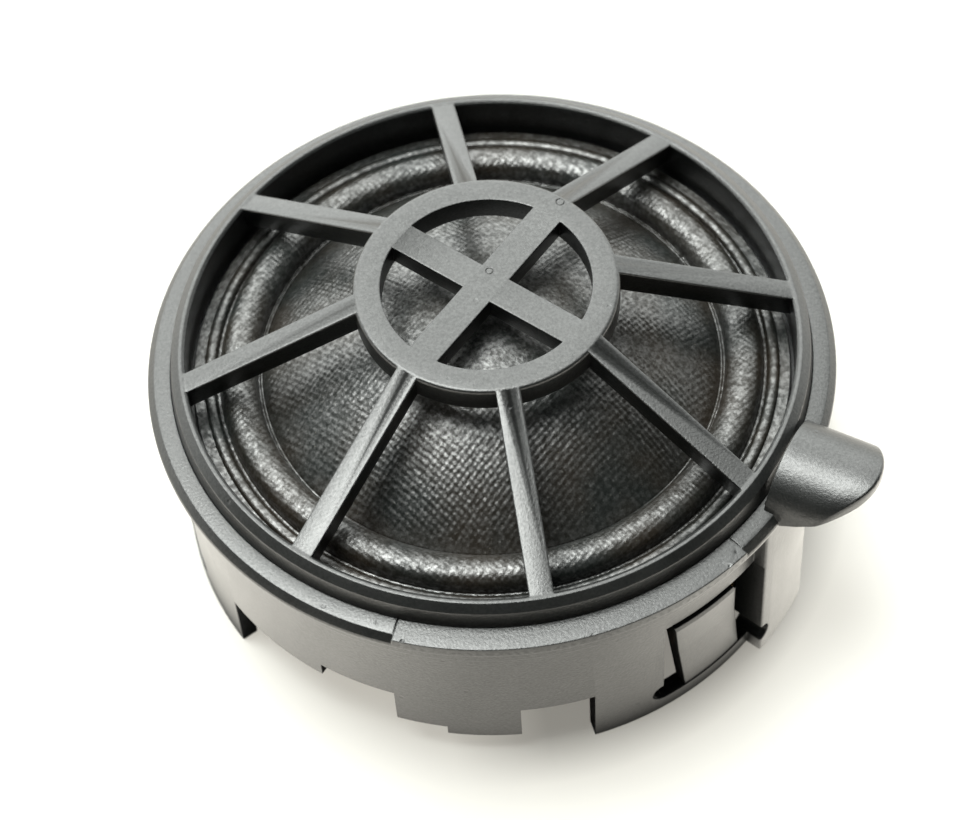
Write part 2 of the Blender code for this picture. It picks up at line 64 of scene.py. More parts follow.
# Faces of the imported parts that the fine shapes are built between
FLOOR_Z = -13.2  # the skirt's rear edge, below the flange's underside
SEAT_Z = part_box("outer_housing")[0].z / MM - FLOOR_Z
GRILLE_BOTTOM, HUB_TOP = (corner.z / MM - SEAT_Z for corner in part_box("front_grille"))
DOME_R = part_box("diaphragm_dome")[1].x / MM
DOME_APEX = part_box("diaphragm_dome")[1].z / MM - SEAT_Z

# Flange, skirt and inner shelf
FLANGE_R = 21.0
RIM_Z = 0.8
RIM_IN_R = 19.55
RIM_OUT_R = 20.35
SKIRT_TOP_R = 20.3
SKIRT_R = 20.05
SKIRT_BOTTOM_R = 19.85
SKIRT_INNER_R = 18.8
SKIRT_STEP_Z = -1.7
SHELF_TOP = -1.55
SHELF_BOTTOM = -3.1
COLLAR_BOTTOM = -4.5
COLLAR_R = (16.05, 17.1)
WIDE_RIM = (-115.0, -54.0)  # degrees over which the rim is square-edged
SKIRT_EDGE = (  # from and to in degrees, and the height cut up to
    (-153.0, -131.0, -8.6),
    (-131.0, -117.0, -7.5),
    (-117.0, -108.0, -10.5),
    (-108.0, -95.0, -11.3),
    (-95.0, -82.0, -8.3),
    (-20.0, 38.0, -11.3),
    (74.0, 106.0, -8.3),
    (106.0, 156.0, -11.3),
)
OVERLAP = 0.03  # degrees that neighbouring cutters run into each other

# Thumb tab and the locating key below it
TAB_ANGLE = -36.0
TAB_R = (19.65, 25.36)
TAB_HALF_WIDTH = 3.57
TAB_HEIGHT = 3.1
TAB_WALL = 0.85
TAB_CROWN = (0.215, 0.132)  # 1/mm: how fast the tip's near and far sides draw back
TAB_LIFT_FROM = 20.7  # beyond this radius the tab's lower edge rises
TAB_LIFT = 0.49  # by this much for each unit of radius
TAB_EDGE = 0.2
KEY_ANGLES = (-48.5, -34.5)
KEY_R = 20.9
NUB_ANGLE = -44.5

# Front grille
LIP_Z = 2.4
LIP_R = (18.5, 18.87)
LEDGE_R = 19.37
LEDGE_Z = 1.97
GRILLE_FOOT_R = 19.535
SPOKES = 8
SPOKE_HALF = 0.735
SPOKE_DEPTH = 1.9
HUB_R = (6.28, 7.93)
HUB_DEPTH = 1.6
CROSS_HALF = 1.0
CROSS_ANGLES = (45.0, 135.0)
EJECTOR_MARKS = ((7.45, 44.0, 0.27), (0.9, 68.0, 0.24))

# Snap latches
LATCH_ANGLES = {1: -60.0, 2: 60.0, 3: 180.0}
LATCH_HALF = 6.5
LATCH_LEAN = (2.6, -0.7)  # degrees that the tongue is turned by at its root and top
LATCH_Z = (-12.05, -3.9)
LATCH_R = (18.85, 19.95)
BARB_R = 20.25
BARB_SLOPE = 3.2  # from the tongue's top down to where its barb starts
LATCH_TAPER = 0.15  # that the outer face leans out by below the barb
WINDOW_SPAN = (-8.8, 11.6)
WINDOW_Z = (-12.0, -3.6)
KEYHOLE_R = 0.75
KEYHOLE_Z = -11.2
BEND_Z = (-12.05, -11.2)  # where the tongue starts to bend, and where it is all tongue

# Woven diaphragm
DOME_EDGE_Z = -0.3
CLOTH_T = 0.2
CLOTH_TOP = -0.28
CLOTH_OUT_R = 18.2
ROLL_R = (14.28, 16.6)
ROLL_HEIGHT = 1.25
ROLL_FULLNESS = 0.65  # power of the sine that the roll rises by: 1 is pointed, 0 is square
RIDGE_R = (16.85, 17.6)
RIDGE_HEIGHT = 0.35
PITCH = 0.33  # from thread to thread
WEAVE_ANGLE = math.radians(39.0)
WEAVE_HEIGHT = 0.055
CROWN_SMOOTH = (3.0, 9.0)  # resin fills the weave inside the first radius, not beyond the second
DOME_FLAT_RIM = 0.5  # the weave sinks into the resin over this last stretch of the dome
THREAD_STEPS = 4  # mesh steps to each thread
SURROUND_STEP = 0.086  # the surround's mesh step along its section
SURROUND_TURN = 1140  # and its steps round a full turn

# Motor, coil and terminals
RING_Z = (-1.5, -1.0, -0.58)
RING_R = (16.8, 18.3, 19.4)
FORMER_R = (13.7, 13.88)
FORMER_Z = (-3.6, -0.65)
COIL_Z = (-3.3, -1.5)
COIL_LAYERS = (14.02, 14.2)
COIL_TURNS = 14
COIL_WIRE_R = 0.062
YOKE_R = (14.55, 15.9)
YOKE_Z = (-7.8, -6.25, -1.75)
MAGNET_R = 12.8
MAGNET_Z = (-6.2, -3.55)
POLE_R = 13.45
POLE_Z = (-3.5, -1.7)
PAD_R = 12.0
PAD_Z = (-1.65, 0.0)
BOARD_R = (5.2, 18.3)
BOARD_Z = (-9.4, -8.4)
BOARD_NOTCH_R = 15.2
BOARD_NOTCH_SPAN = (-8.0, 13.0)
POST_ANGLES = (0.0, 120.0, 240.0)
POST_R = 0.9
POST_AT = 18.0
STAKE_R = 0.5
STAKE_AT = 17.4
STAKE_HOLE_R = 0.65
CONNECTOR_X = 4.6
CONNECTOR_Y = (8.0, 17.4)
CONNECTOR_Z = (-13.1, -9.45)
CONNECTOR_WALL = 0.8
PIN_SIDES = {"positive": 1, "negative": -1}
PIN_X = 1.25
PIN_HALF = 0.32
PIN_HOLE_R = 0.6
PIN_LEG_Y = 7.0
PIN_TIP_Y = 14.5
PIN_Z = -11.3
PIN_TOP = -7.95
CAPACITOR_R = 2.5
CAPACITOR_HALF = 5.0
CAPACITOR_AT = (-9.5, -10.45)  # its axis, as y and z
CUTOUT = (5.8, 2.9)
CAP_WIRE_R = 0.3
CAP_WIRE_X = 6.65
STRIP_ANGLES = {"positive": 81.0, "negative": 99.0}
STRIP_HALF = 0.8
STRIP_T = 0.3
STRIP_IN_R = 16.35
STRIP_R = 17.35
STRIP_Z = (-8.3, -1.05)
LEAD_R = 0.11
LEAD_SPAN = (14.15, 16.2)
LEAD_Z = -1.2
LEAD_SAG = 0.12

# Camera, as distance, angles in degrees, and the offset of its axis from the origin
CAMERA_LENS = 113.8
CAMERA_DISTANCE = 185.48 * MM
CAMERA_ELEVATION = 55.14
CAMERA_AZIMUTH = -5.75
CAMERA_ROLL = -4.10
CAMERA_SHIFT = (-0.669 * MM, -3.120 * MM)
CAMERA_STOP = 62.0
FOCUS = (0.0, -9.0 * MM, 3.5 * MM)


# ---------------------------------------------------------------- node materials

def socket_set(node, values):
    for name, value in values.items():
        node.inputs[name].default_value = value


class Nodes:
    """A node tree whose nodes are added one call at a time."""

    def __init__(self, tree):
        self.tree = tree

    def add(self, kind, values=None, **settings):
        node = self.tree.nodes.new(kind)
        for name, value in settings.items():
            setattr(node, name, value)
        socket_set(node, values or {})
        return node

    def link(self, output, target):
        self.tree.links.new(output, target)

    def maths(self, operation, first, second):
        node = self.add("ShaderNodeMath", operation=operation)
        for slot, value in zip(node.inputs, (first, second)):
            if isinstance(value, (int, float)):
                slot.default_value = value
            else:
                self.link(value, slot)
        return node.outputs["Value"]

    def times(self, first, second):
        return self.maths("MULTIPLY", first, second)


class Finish(Nodes):
    """A Principled material and its texture nodes."""

    def __init__(self, name, **values):
        self.material = bpy.data.materials.new(name)
        self.material.use_nodes = True
        super().__init__(self.material.node_tree)
        self.shader = self.tree.nodes["Principled BSDF"]
        socket_set(self.shader, values)
        self.place = self.add("ShaderNodeTexCoord").outputs["Object"]
        self.normal = None

    def noise(self, scale, detail=3.0, roughness=0.55, distortion=0.0, stretch=None):
        """Noise with this many features to the metre."""
        node = self.add("ShaderNodeTexNoise", {"Scale": scale, "Detail": detail, "Roughness": roughness,
                                               "Distortion": distortion})
        place = self.place
        if stretch:
            scaled = self.add("ShaderNodeMapping")
            socket_set(scaled, {"Scale": stretch})
            self.link(place, scaled.inputs["Vector"])
            place = scaled.outputs["Vector"]
        self.link(place, node.inputs["Vector"])
        return node.outputs["Fac"]

    def cells(self, scale):
        node = self.add("ShaderNodeTexVoronoi", {"Scale": scale})
        self.link(self.place, node.inputs["Vector"])
        return node.outputs["Distance"]

    def ramp(self, value, low=0.3, high=0.7, start=0.0, end=1.0):
        """Maps value from low..high to start..end, held at both ends."""
        node = self.add("ShaderNodeMapRange", {"From Min": low, "From Max": high,
                                               "To Min": start, "To Max": end})
        self.link(value, node.inputs["Value"])
        return node.outputs["Result"]

    def mix(self, share, first, second):
        """Colour between first and second, which are colours or sockets."""
        node = self.add("ShaderNodeMix", data_type="RGBA")
        self.link(share, node.inputs["Factor"])
        for name, value in (("A", first), ("B", second)):
            slot = [s for s in node.inputs if s.name == name and s.type == "RGBA"][0]
            if isinstance(value, tuple):
                slot.default_value = (*value, 1.0)
            else:
                self.link(value, slot)
        return [s for s in node.outputs if s.type == "RGBA"][0]

    def bump(self, height, depth, strength=1.0):
        """Adds relief of this depth in metres on top of what is there."""
        node = self.add("ShaderNodeBump", {"Strength": strength, "Distance": depth})
        self.link(height, node.inputs["Height"])
        if self.normal is not None:
            self.link(self.normal, node.inputs["Normal"])
        self.normal = node.outputs["Normal"]
        self.link(self.normal, self.shader.inputs["Normal"])

    def soft_edges(self, radius):
        """Rounds edges in shading, and returns how near an edge each point is, from 0 to 1."""
        node = self.add("ShaderNodeBevel", {"Radius": radius}, samples=6)
        flat = self.add("ShaderNodeNewGeometry")
        dot = self.add("ShaderNodeVectorMath", operation="DOT_PRODUCT")
        self.link(node.outputs["Normal"], dot.inputs[0])
        self.link(flat.outputs["Normal"], dot.inputs[1])
        self.normal = node.outputs["Normal"]
        self.link(self.normal, self.shader.inputs["Normal"])
        return self.ramp(dot.outputs["Value"], 0.995, 0.75)

    def drive(self, name, output):
        self.link(output, self.shader.inputs[name])


def moulded_plastic(name, dark, light, rough, grain):
    """Spark-eroded black plastic: fine grain, flow variation, scuffs and edges worn paler."""
    finish = Finish(name)
    edge = finish.soft_edges(0.10 * MM)
    worn = finish.times(edge, finish.ramp(finish.noise(900.0, 4.0), 0.42, 0.66))
    flow = finish.noise(110.0, 3.0, 0.6, 0.6)
    scuff = finish.ramp(finish.noise(2600.0, 3.0, 0.6, 1.0, (1.0, 0.12, 1.0)), 0.66, 0.78)
    colour = finish.mix(finish.ramp(flow), dark, light)
    pale = tuple(min(1.0, channel * 3.0 + 0.02) for channel in light)
    colour = finish.mix(finish.times(worn, 0.4), colour, pale)
    colour = finish.mix(finish.times(scuff, 0.15), colour, pale)
    finish.drive("Base Color", colour)
    base = finish.ramp(flow, 0.3, 0.7, rough - 0.03, rough + 0.04)
    finish.drive("Roughness", finish.maths("ADD", base, finish.times(scuff, 0.1)))
    sparkle = finish.noise(6000.0, 2.0, 0.7)
    finish.drive("Specular IOR Level", finish.ramp(sparkle, 0.3, 0.7, 0.40, 0.60))
    finish.bump(sparkle, grain)
    dings = finish.ramp(finish.cells(420.0), 0.035, 0.07)
    finish.bump(dings, 0.02 * MM, 0.8)
    return finish.material


def coated_cloth(name):
    """Black resin-coated weave: glossy thread crowns, dull pockets, patchy warm and cool tints, and painted
    glints: small pale dots in its colour that stand in for light caught on the threads.
    """
    finish = Finish(name)
    tint = finish.ramp(finish.noise(190.0, 2.0), 0.35, 0.65)
    colour = finish.mix(tint, (0.0085, 0.0065, 0.0045), (0.0045, 0.0055, 0.005))
    # painted glints: pale dots mixed into the weave's colour stand in for sparkle of light on the threads
    painted_glint = finish.ramp(finish.cells(1900.0), 0.10, 0.04)
    colour = finish.mix(finish.times(painted_glint, 0.5), colour, (0.10, 0.095, 0.08))
    finish.drive("Base Color", colour)
    finish.drive("Roughness", finish.ramp(finish.noise(3200.0, 3.0), 0.3, 0.7, 0.28, 0.42))
    resin = finish.ramp(finish.noise(3000.0, 2.0, 0.7), 0.40, 0.66, 0.26, 0.88)
    finish.drive("Specular IOR Level", resin)
    finish.bump(finish.noise(14000.0, 2.0), 0.012 * MM)
    return finish.material


def plated_metal(name, colour, shade, rough, brush=None):
    """Metal with a drawn or turned grain, stains and softly broken edges."""
    finish = Finish(name, Metallic=1.0)
    edge = finish.soft_edges(0.08 * MM)
    stain = finish.ramp(finish.noise(160.0, 4.0, 0.6, 0.8), 0.35, 0.7)
    finish.drive("Base Color", finish.mix(finish.times(stain, 0.7), colour, shade))
    grain = finish.noise(2500.0, 3.0, 0.6, 0.0, brush or (1.0, 1.0, 1.0))
    rougher = finish.ramp(grain, 0.3, 0.7, rough - 0.07, rough + 0.10)
    finish.drive("Roughness", finish.maths("SUBTRACT", rougher, finish.times(edge, 0.06)))
    finish.bump(grain, 0.006 * MM)
    return finish.material


def grained(name, noise, colours, rough, depth, edge=0.0, span=(0.3, 0.7), **values):
    """A material whose colour, gloss and relief all follow one noise."""
    finish = Finish(name, **values)
    if edge:
        finish.soft_edges(edge)
    grain = finish.noise(*noise)
    finish.drive("Base Color", finish.mix(finish.ramp(grain, *span), *colours))
    finish.drive("Roughness", finish.ramp(grain, *span, *rough))
    finish.bump(grain, depth)
    return finish


def laminate(name):
    """Phenolic board: brown paper-like fibre with darker blotches under a thin resin gloss."""
    finish = grained(name, (1400.0, 5.0, 0.7, 1.2, (1.0, 0.25, 1.0)),
                     ((0.15, 0.085, 0.028), (0.26, 0.16, 0.06)), (0.42, 0.6), 0.01 * MM, 0.06 * MM)
    fibre = finish.shader.inputs["Base Color"].links[0].from_socket
    blotch = finish.ramp(finish.noise(140.0, 2.0), 0.3, 0.8, 0.0, 0.5)
    finish.drive("Base Color", finish.mix(blotch, fibre, (0.10, 0.055, 0.02)))
    return finish.material


def floor_with_painted_light(name):
    """Paper that glows a little, as painted light: seen directly, its glow dims in a painted contact shadow
    under the skirt, so shadows on it stay pale beige; reflections see a smooth painted glow, brighter to the
    sides, dimmer towards +Y and dark under the housing.
    """
    finish = Finish(name, Roughness=0.9, **{"Emission Color": (0.80, 0.77, 0.69, 1.0)})
    paper = finish.noise(60.0, 3.0)
    seen = finish.add("ShaderNodeLightPath").outputs["Is Camera Ray"]
    colour = finish.mix(finish.ramp(paper), (0.20, 0.199, 0.194), (0.22, 0.219, 0.213))
    # rays other than the camera's see a near-black base, and the painted glow below instead
    finish.drive("Base Color", finish.mix(seen, (0.05, 0.05, 0.05), colour))
    split = finish.add("ShaderNodeSeparateXYZ")
    finish.link(finish.place, split.inputs["Vector"])
    aside = finish.maths("ABSOLUTE", split.outputs["X"], 0.0)
    # painted bounce light: the glow that reflections see, brighter to the sides and dimmer towards +Y
    painted_bounce_glow = finish.times(finish.ramp(aside, 0.006, 0.020, 2.1, 3.6),
                          finish.ramp(split.outputs["Y"], -0.01, 0.02, 1.0, 0.4))
    radius = finish.add("ShaderNodeVectorMath", operation="LENGTH")
    finish.link(finish.place, radius.inputs[0])
    radius = radius.outputs["Value"]
    # painted shade: reflections see no glow from the floor under the housing
    painted_bounce_glow = finish.times(painted_bounce_glow, finish.ramp(radius, 0.0198, 0.0212))
    painted_bounce_glow = finish.times(painted_bounce_glow, finish.ramp(aside, 0.030, 0.045, 1.0, 1.6))
    # painted contact shadow: the camera sees less glow in a ring under the skirt's edge, more so towards +X
    painted_contact_shadow = finish.times(finish.ramp(radius, 0.0135, 0.0155), finish.ramp(radius, 0.0225, 0.0192))
    painted_contact_shadow = finish.times(painted_contact_shadow, finish.ramp(split.outputs["X"], -0.006, 0.0, 0.10, 0.55))
    # what the camera sees of the painted glow, less the painted contact shadow
    own = finish.times(seen, finish.times(finish.maths("SUBTRACT", 1.0, painted_contact_shadow), 0.68))
    other = finish.times(finish.maths("SUBTRACT", 1.0, seen), painted_bounce_glow)
    finish.drive("Emission Strength", finish.maths("ADD", own, other))
    return finish.material


BLACK = moulded_plastic("black_plastic_moulding", (0.0012, 0.0015, 0.0014), (0.0026, 0.0030, 0.0028),
                        0.33, 0.016 * MM)
INNER = moulded_plastic("inner_plastic", (0.006, 0.006, 0.0065), (0.011, 0.011, 0.012), 0.48, 0.012 * MM)
CLOTH = coated_cloth("resin_coated_weave")
STEEL = plated_metal("zinc_plated_steel", (0.60, 0.61, 0.63), (0.46, 0.45, 0.44), 0.34)
NICKEL = plated_metal("nickel_plating", (0.66, 0.64, 0.60), (0.52, 0.50, 0.46), 0.22)
COPPER = plated_metal("enamelled_copper", (0.72, 0.30, 0.12), (0.45, 0.15, 0.05), 0.28)
BRASS = plated_metal("tinned_brass", (0.74, 0.71, 0.62), (0.62, 0.53, 0.33), 0.28, (1.0, 1.0, 0.08))
SOLDER = plated_metal("solder", (0.70, 0.71, 0.72), (0.42, 0.42, 0.41), 0.26)
FELT = grained("grey_felt", (5200.0, 5.0, 0.7, 2.5), ((0.02, 0.02, 0.022), (0.1, 0.1, 0.105)), (1.0, 1.0),
               0.08 * MM, span=(0.35, 0.65), **{"Sheen Weight": 0.6, "Sheen Roughness": 0.5}).material
FOIL = grained("former_foil", (900.0, 3.0, 0.5, 0.4, (1.0, 1.0, 6.0)),
               ((0.42, 0.24, 0.07), (0.55, 0.36, 0.13)), (0.32, 0.48), 0.01 * MM,
               **{"Coat Weight": 0.2}).material
BOARD = laminate("phenolic_laminate")
SLEEVE = grained("shrink_sleeve", (500.0, 3.0, 0.5, 0.8, (0.25, 1.0, 1.0)),
                 ((0.012, 0.03, 0.075), (0.02, 0.05, 0.11)), (0.24, 0.38), 0.03 * MM, 0.12 * MM).material
# the floor's glow, its shadows and its shade are painted light
PAINTED_LIGHT_PAPER = floor_with_painted_light("white_paper_painted_glow")


# ---------------------------------------------------------------- mesh tools

def link_mesh(name, mesh, finish):
    obj = bpy.data.objects.new(name, mesh)
    bpy.context.scene.collection.objects.link(obj)
    if finish is not None:
        mesh.materials.append(finish)
    return obj


def shade(obj, degrees=38.0):
    obj.data.shade_smooth()
    obj.data.set_sharp_from_angle(angle=math.radians(degrees))
    return obj


def from_bmesh(bm, name, finish=None, degrees=38.0):
    bmesh.ops.remove_doubles(bm, verts=bm.verts, dist=1e-4)
    bmesh.ops.recalc_face_normals(bm, faces=bm.faces)
    mesh = bpy.data.meshes.new(name)
    bm.to_mesh(mesh)
    bm.free()
    return shade(link_mesh(name, mesh, finish), degrees)


def from_lists(name, points, faces, finish=None, degrees=38.0):
    mesh = bpy.data.meshes.new(name)
    mesh.from_pydata([tuple(p) for p in points], [], faces)
    mesh.update()
    bm = bmesh.new()
    bm.from_mesh(mesh)
    bpy.data.meshes.remove(mesh)
    return from_bmesh(bm, name, finish, degrees)


def rounded(points, radius, count=4):
    """Rounds the corners of a closed outline of (x, y), or (x, y, its own radius)."""
    made = []
    for i, point in enumerate(points):
        here = Vector(point[:2])
        reach = point[2] if len(point) > 2 else radius
        before = Vector(points[i - 1][:2]) - here
        after = Vector(points[(i + 1) % len(points)][:2]) - here
        corner = before.angle(after)
        if reach <= 0.0 or corner > math.radians(172):
            made.append(here)
            continue
        reach = min(reach / math.tan(corner / 2), 0.45 * before.length, 0.45 * after.length)
        start, end = here + before.normalized() * reach, here + after.normalized() * reach
        for k in range(count + 1):
            t = k / count
            made.append(start * (1 - t) ** 2 + here * 2 * t * (1 - t) + end * t ** 2)
    return [(p.x, p.y) for p in made]


def lathe(name, outline, finish=None, steps=TURN, degrees=38.0):
    """Turns a closed outline of (radius, height) round Z. Points on the axis are shared."""
    angles = [math.tau * k / steps for k in range(steps)]
    points, rings = [], []
    for r, z in outline:
        if r < 1e-4:
            rings.append([len(points)] * steps)
            points.append((0.0, 0.0, z))
        else:
            rings.append(list(range(len(points), len(points) + steps)))
            points += [(r * math.cos(a), r * math.sin(a), z) for a in angles]
    faces = []
    for i, ring in enumerate(rings):
        after = rings[(i + 1) % len(rings)]
        if ring[0] == ring[1] and after[0] == after[1]:
            continue
        for k in range(steps):
            n = (k + 1) % steps
            corners = [ring[k], ring[n], after[n], after[k]]
            faces.append(list(dict.fromkeys(corners)))
    return from_lists(name, points, faces, finish, degrees)


def ring_outline(inner, outer, bottom, top):
    return [(inner, bottom), (outer, bottom), (outer, top), (inner, top)]


def disc_outline(radius, bottom, top):
    return [(0.0, bottom, 0.0), (radius, bottom), (radius, top), (0.0, top, 0.0)]


def loft(name, sections, finish=None, end=None):
    """Joins closed sections of equally many points. end is the list of faces that close one of them."""
    count, last = len(sections[0]), len(sections) - 1
    points = [point for section in sections for point in section]
    faces = end or [list(range(count))]
    faces = faces + [[last * count + i for i in face] for face in faces]
    for s in range(last):
        for i in range(count):
            j = (i + 1) % count
            faces.append([s * count + i, s * count + j, (s + 1) * count + j, (s + 1) * count + i])
    return from_lists(name, points, faces, finish)


def sweep(name, outline, start, end, finish=None):
    """Sweeps a closed outline of (radius, height) between two angles in degrees, with flat ends."""
    steps = max(3, round((end - start) / 360.0 * TURN))
    angles = [math.radians(start + (end - start) * k / steps) for k in range(steps + 1)]
    return loft(name, [[(r * math.cos(a), r * math.sin(a), z) for r, z in outline] for a in angles], finish)


def prism(name, outline, low, high, finish=None, axis="Z"):
    """Extrudes a closed outline along an axis. The outline lies in XY, or in XZ or YZ for Y and X."""
    place = {"Z": lambda u, v, w: (u, v, w), "Y": lambda u, v, w: (u, w, v),
             "X": lambda u, v, w: (w, u, v)}[axis]
    return loft(name, [[place(u, v, w) for u, v in outline] for w in (low, high)], finish)


def box_outline(x0, y0, x1, y1):
    return [(x0, y0), (x1, y0), (x1, y1), (x0, y1)]


def block(name, low, high):
    return prism(name, box_outline(*low[:2], *high[:2]), low[2], high[2])


def circle_outline(x, y, radius, count=32):
    return [(x + radius * math.cos(math.tau * k / count), y + radius * math.sin(math.tau * k / count))
            for k in range(count)]


def rod(name, start, end, radius):
    bm = bmesh.new()
    start, end = Vector(start), Vector(end)
    along = end - start
    turn = Vector((0, 0, 1)).rotation_difference(along).to_matrix().to_4x4()
    bmesh.ops.create_cone(bm, cap_ends=True, segments=32, radius1=radius, radius2=radius,
                          depth=along.length, matrix=Matrix.Translation((start + end) / 2) @ turn)
    return from_bmesh(bm, name)


def tube(name, points, radius, finish=None, sides=12):
    """A round wire through the points, with domed ends."""
    path = [Vector(p) for p in points]
    side = None
    rings, verts = [], []
    for i, point in enumerate(path):
        along = (path[min(i + 1, len(path) - 1)] - path[max(i - 1, 0)]).normalized()
        side = side or along.orthogonal()
        side = (side - along * side.dot(along)).normalized()
        other = along.cross(side)
        rings.append(range(len(verts), len(verts) + sides))
        for k in range(sides):
            a = math.tau * k / sides
            verts.append(point + (side * math.cos(a) + other * math.sin(a)) * radius)
    faces = []
    for near, far in zip(rings, rings[1:]):
        for k in range(sides):
            n = (k + 1) % sides
            faces.append([near[k], near[n], far[n], far[k]])
    for ring, point, toward in ((rings[0], path[0], path[1]), (rings[-1], path[-1], path[-2])):
        tip = len(verts)
        verts.append(point + (point - toward).normalized() * radius * 0.5)
        faces += [[ring[k], ring[(k + 1) % sides], tip] for k in range(sides)]
    return from_lists(name, verts, faces, finish, 60.0)


def settle(obj):
    """Applies the object's modifiers to its mesh."""
    bpy.context.view_layer.update()
    graph = bpy.context.evaluated_depsgraph_get()
    mesh = bpy.data.meshes.new_from_object(obj.evaluated_get(graph))
    obj.modifiers.clear()
    obj.data = mesh
    return obj


def combine(obj, adds=(), cuts=()):
    """Joins the additions to the object, then takes the cutters away from it."""
    others = [(o, "UNION") for o in adds] + [(o, "DIFFERENCE") for o in cuts]
    for other, operation in others:
        step = obj.modifiers.new(other.name, "BOOLEAN")
        step.operation = operation
        step.solver = "EXACT"
        step.object = other
    settle(obj)
    for other, _ in others:
        bpy.data.objects.remove(other, do_unlink=True)
    bm = bmesh.new()
    bm.from_mesh(obj.data)
    bmesh.ops.remove_doubles(bm, verts=bm.verts, dist=2e-3)
    bmesh.ops.dissolve_degenerate(bm, edges=bm.edges, dist=1e-3)
    bm.to_mesh(obj.data)
    bm.free()
    return shade(obj)


def join_meshes(name, parts, finish=None):
    """One object that holds several separate solids."""
    bm = bmesh.new()
    for part in parts:
        part.data.transform(part.matrix_world)
        bm.from_mesh(part.data)
        bpy.data.objects.remove(part, do_unlink=True)
    mesh = bpy.data.meshes.new(name)
    bm.to_mesh(mesh)
    bm.free()
    return shade(link_mesh(name, mesh, finish))


def bevelled(obj, width, segments=3, degrees=40.0):
    step = obj.modifiers.new("edges", "BEVEL")
    step.width = width
    step.segments = segments
    step.limit_method = "ANGLE"
    step.angle_limit = math.radians(degrees)
    step.harden_normals = False
    return shade(settle(obj))


def turned(obj, degrees):
    obj.data.transform(Matrix.Rotation(math.radians(degrees), 4, "Z"))
    return obj


def moved(obj, place):
    obj.data.transform(Matrix.Translation(place))
    return obj


def polar(radius, degrees, z):
    angle = math.radians(degrees)
    return Vector((radius * math.cos(angle), radius * math.sin(angle), z))


def raise_seat(obj):
    """Turns a finished drawing into metres, at its place in the part's frame."""
    obj.data.transform(Matrix.Scale(MM, 4) @ Matrix.Translation((0, 0, SEAT_Z)))
    return obj


def show(obj, *nodes, body="housing", slot=None):
    """The piece rides on a body and stands for CAD nodes."""
    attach(raise_seat(obj), body)
    if nodes:
        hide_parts(*nodes)
    return obj


# ---------------------------------------------------------------- grille

def make_spoke(index):
    """A bar that slopes from the lip up to the hub, with drafted sides and rounded top edges."""
    hub_bottom = HUB_TOP - HUB_DEPTH
    start, flush = HUB_R[1] - 0.75, 0.004
    stations = (
        (start, HUB_TOP - 0.06, hub_bottom + 0.1),
        (HUB_R[1] - 0.1, HUB_TOP - 0.05, hub_bottom - 0.25),
        (LIP_R[0], LIP_Z - flush, LIP_Z - SPOKE_DEPTH + 0.18),
        (LIP_R[1] - 0.05, LIP_Z - flush, LIP_Z - SPOKE_DEPTH),
    )
    draft, edge = 0.13, 0.09
    sections = []
    for r, top, bottom in stations:
        outline = rounded([(-SPOKE_HALF + draft, bottom), (SPOKE_HALF - draft, bottom),
                           (SPOKE_HALF, top), (-SPOKE_HALF, top)], edge, 3)
        sections.append([(r, y, z) for y, z in outline])
    return turned(loft(f"spoke_{index}", sections), 360.0 / SPOKES * index)


def make_grille():
    """Lip wall with its foot, hub ring, eight spokes and the cross, as one moulding."""
    foot_z = 0.82
    lip = lathe("grille_moulding", rounded([
        (LIP_R[0], GRILLE_BOTTOM), (GRILLE_FOOT_R, GRILLE_BOTTOM), (GRILLE_FOOT_R, foot_z, 0.02),
        (LEDGE_R, LEDGE_Z, 0.06),
        (LIP_R[1], LIP_Z, 0.07), (LIP_R[0] + 0.2, LIP_Z, 0.05),
        (LIP_R[0], LIP_Z - 0.12, 0.05),
    ], 0.05), BLACK, steps=TURN + 16)
    hub_bottom = HUB_TOP - HUB_DEPTH
    hub = lathe("hub_ring", rounded([
        (HUB_R[0], hub_bottom), (HUB_R[1], hub_bottom), (HUB_R[1], HUB_TOP, 0.26),
        (HUB_R[0], HUB_TOP, 0.07),
    ], 0.08), steps=144)
    reach = HUB_R[0] + 0.5
    bars = []
    for i, angle in enumerate(CROSS_ANGLES):
        outline = rounded([(-CROSS_HALF + 0.08, hub_bottom + 0.15),
                           (CROSS_HALF - 0.08, hub_bottom + 0.15),
                           (CROSS_HALF, HUB_TOP - (0.003 + 0.002 * i)),
                           (-CROSS_HALF, HUB_TOP - (0.003 + 0.002 * i))], 0.08, 3)
        bars.append(turned(prism(f"cross_{i}", outline, -reach, reach, axis="X"), angle))
    marks = []
    for i, (radius, angle, size) in enumerate(EJECTOR_MARKS):
        mark = lathe(f"ejector_{i}", ring_outline(size - 0.05, size, -0.045, 0.1), steps=32)
        marks.append(moved(mark, polar(radius, angle, HUB_TOP)))
    spokes = join_meshes("spokes", [make_spoke(i) for i in range(SPOKES)])
    combine(hub, adds=bars)
    combine(lip, adds=[spokes, hub], cuts=marks)
    return show(lip, "front_grille", slot="black_plastic")


# ---------------------------------------------------------------- housing

def tab_section(inset, count=20):
    """Cross-section of the arch as (y, z), its two faces drawn together by inset."""
    wall = TAB_WALL - inset
    half, height = TAB_HALF_WIDTH - inset, TAB_HEIGHT - inset
    angles = [math.pi * i / count for i in range(count + 1)]
    outer = [(half * math.cos(a), height * math.sin(a)) for a in angles]
    inner = [((TAB_HALF_WIDTH - wall) * math.cos(a), (TAB_HEIGHT - wall) * math.sin(a)) for a in angles]
    return outer + inner[::-1]


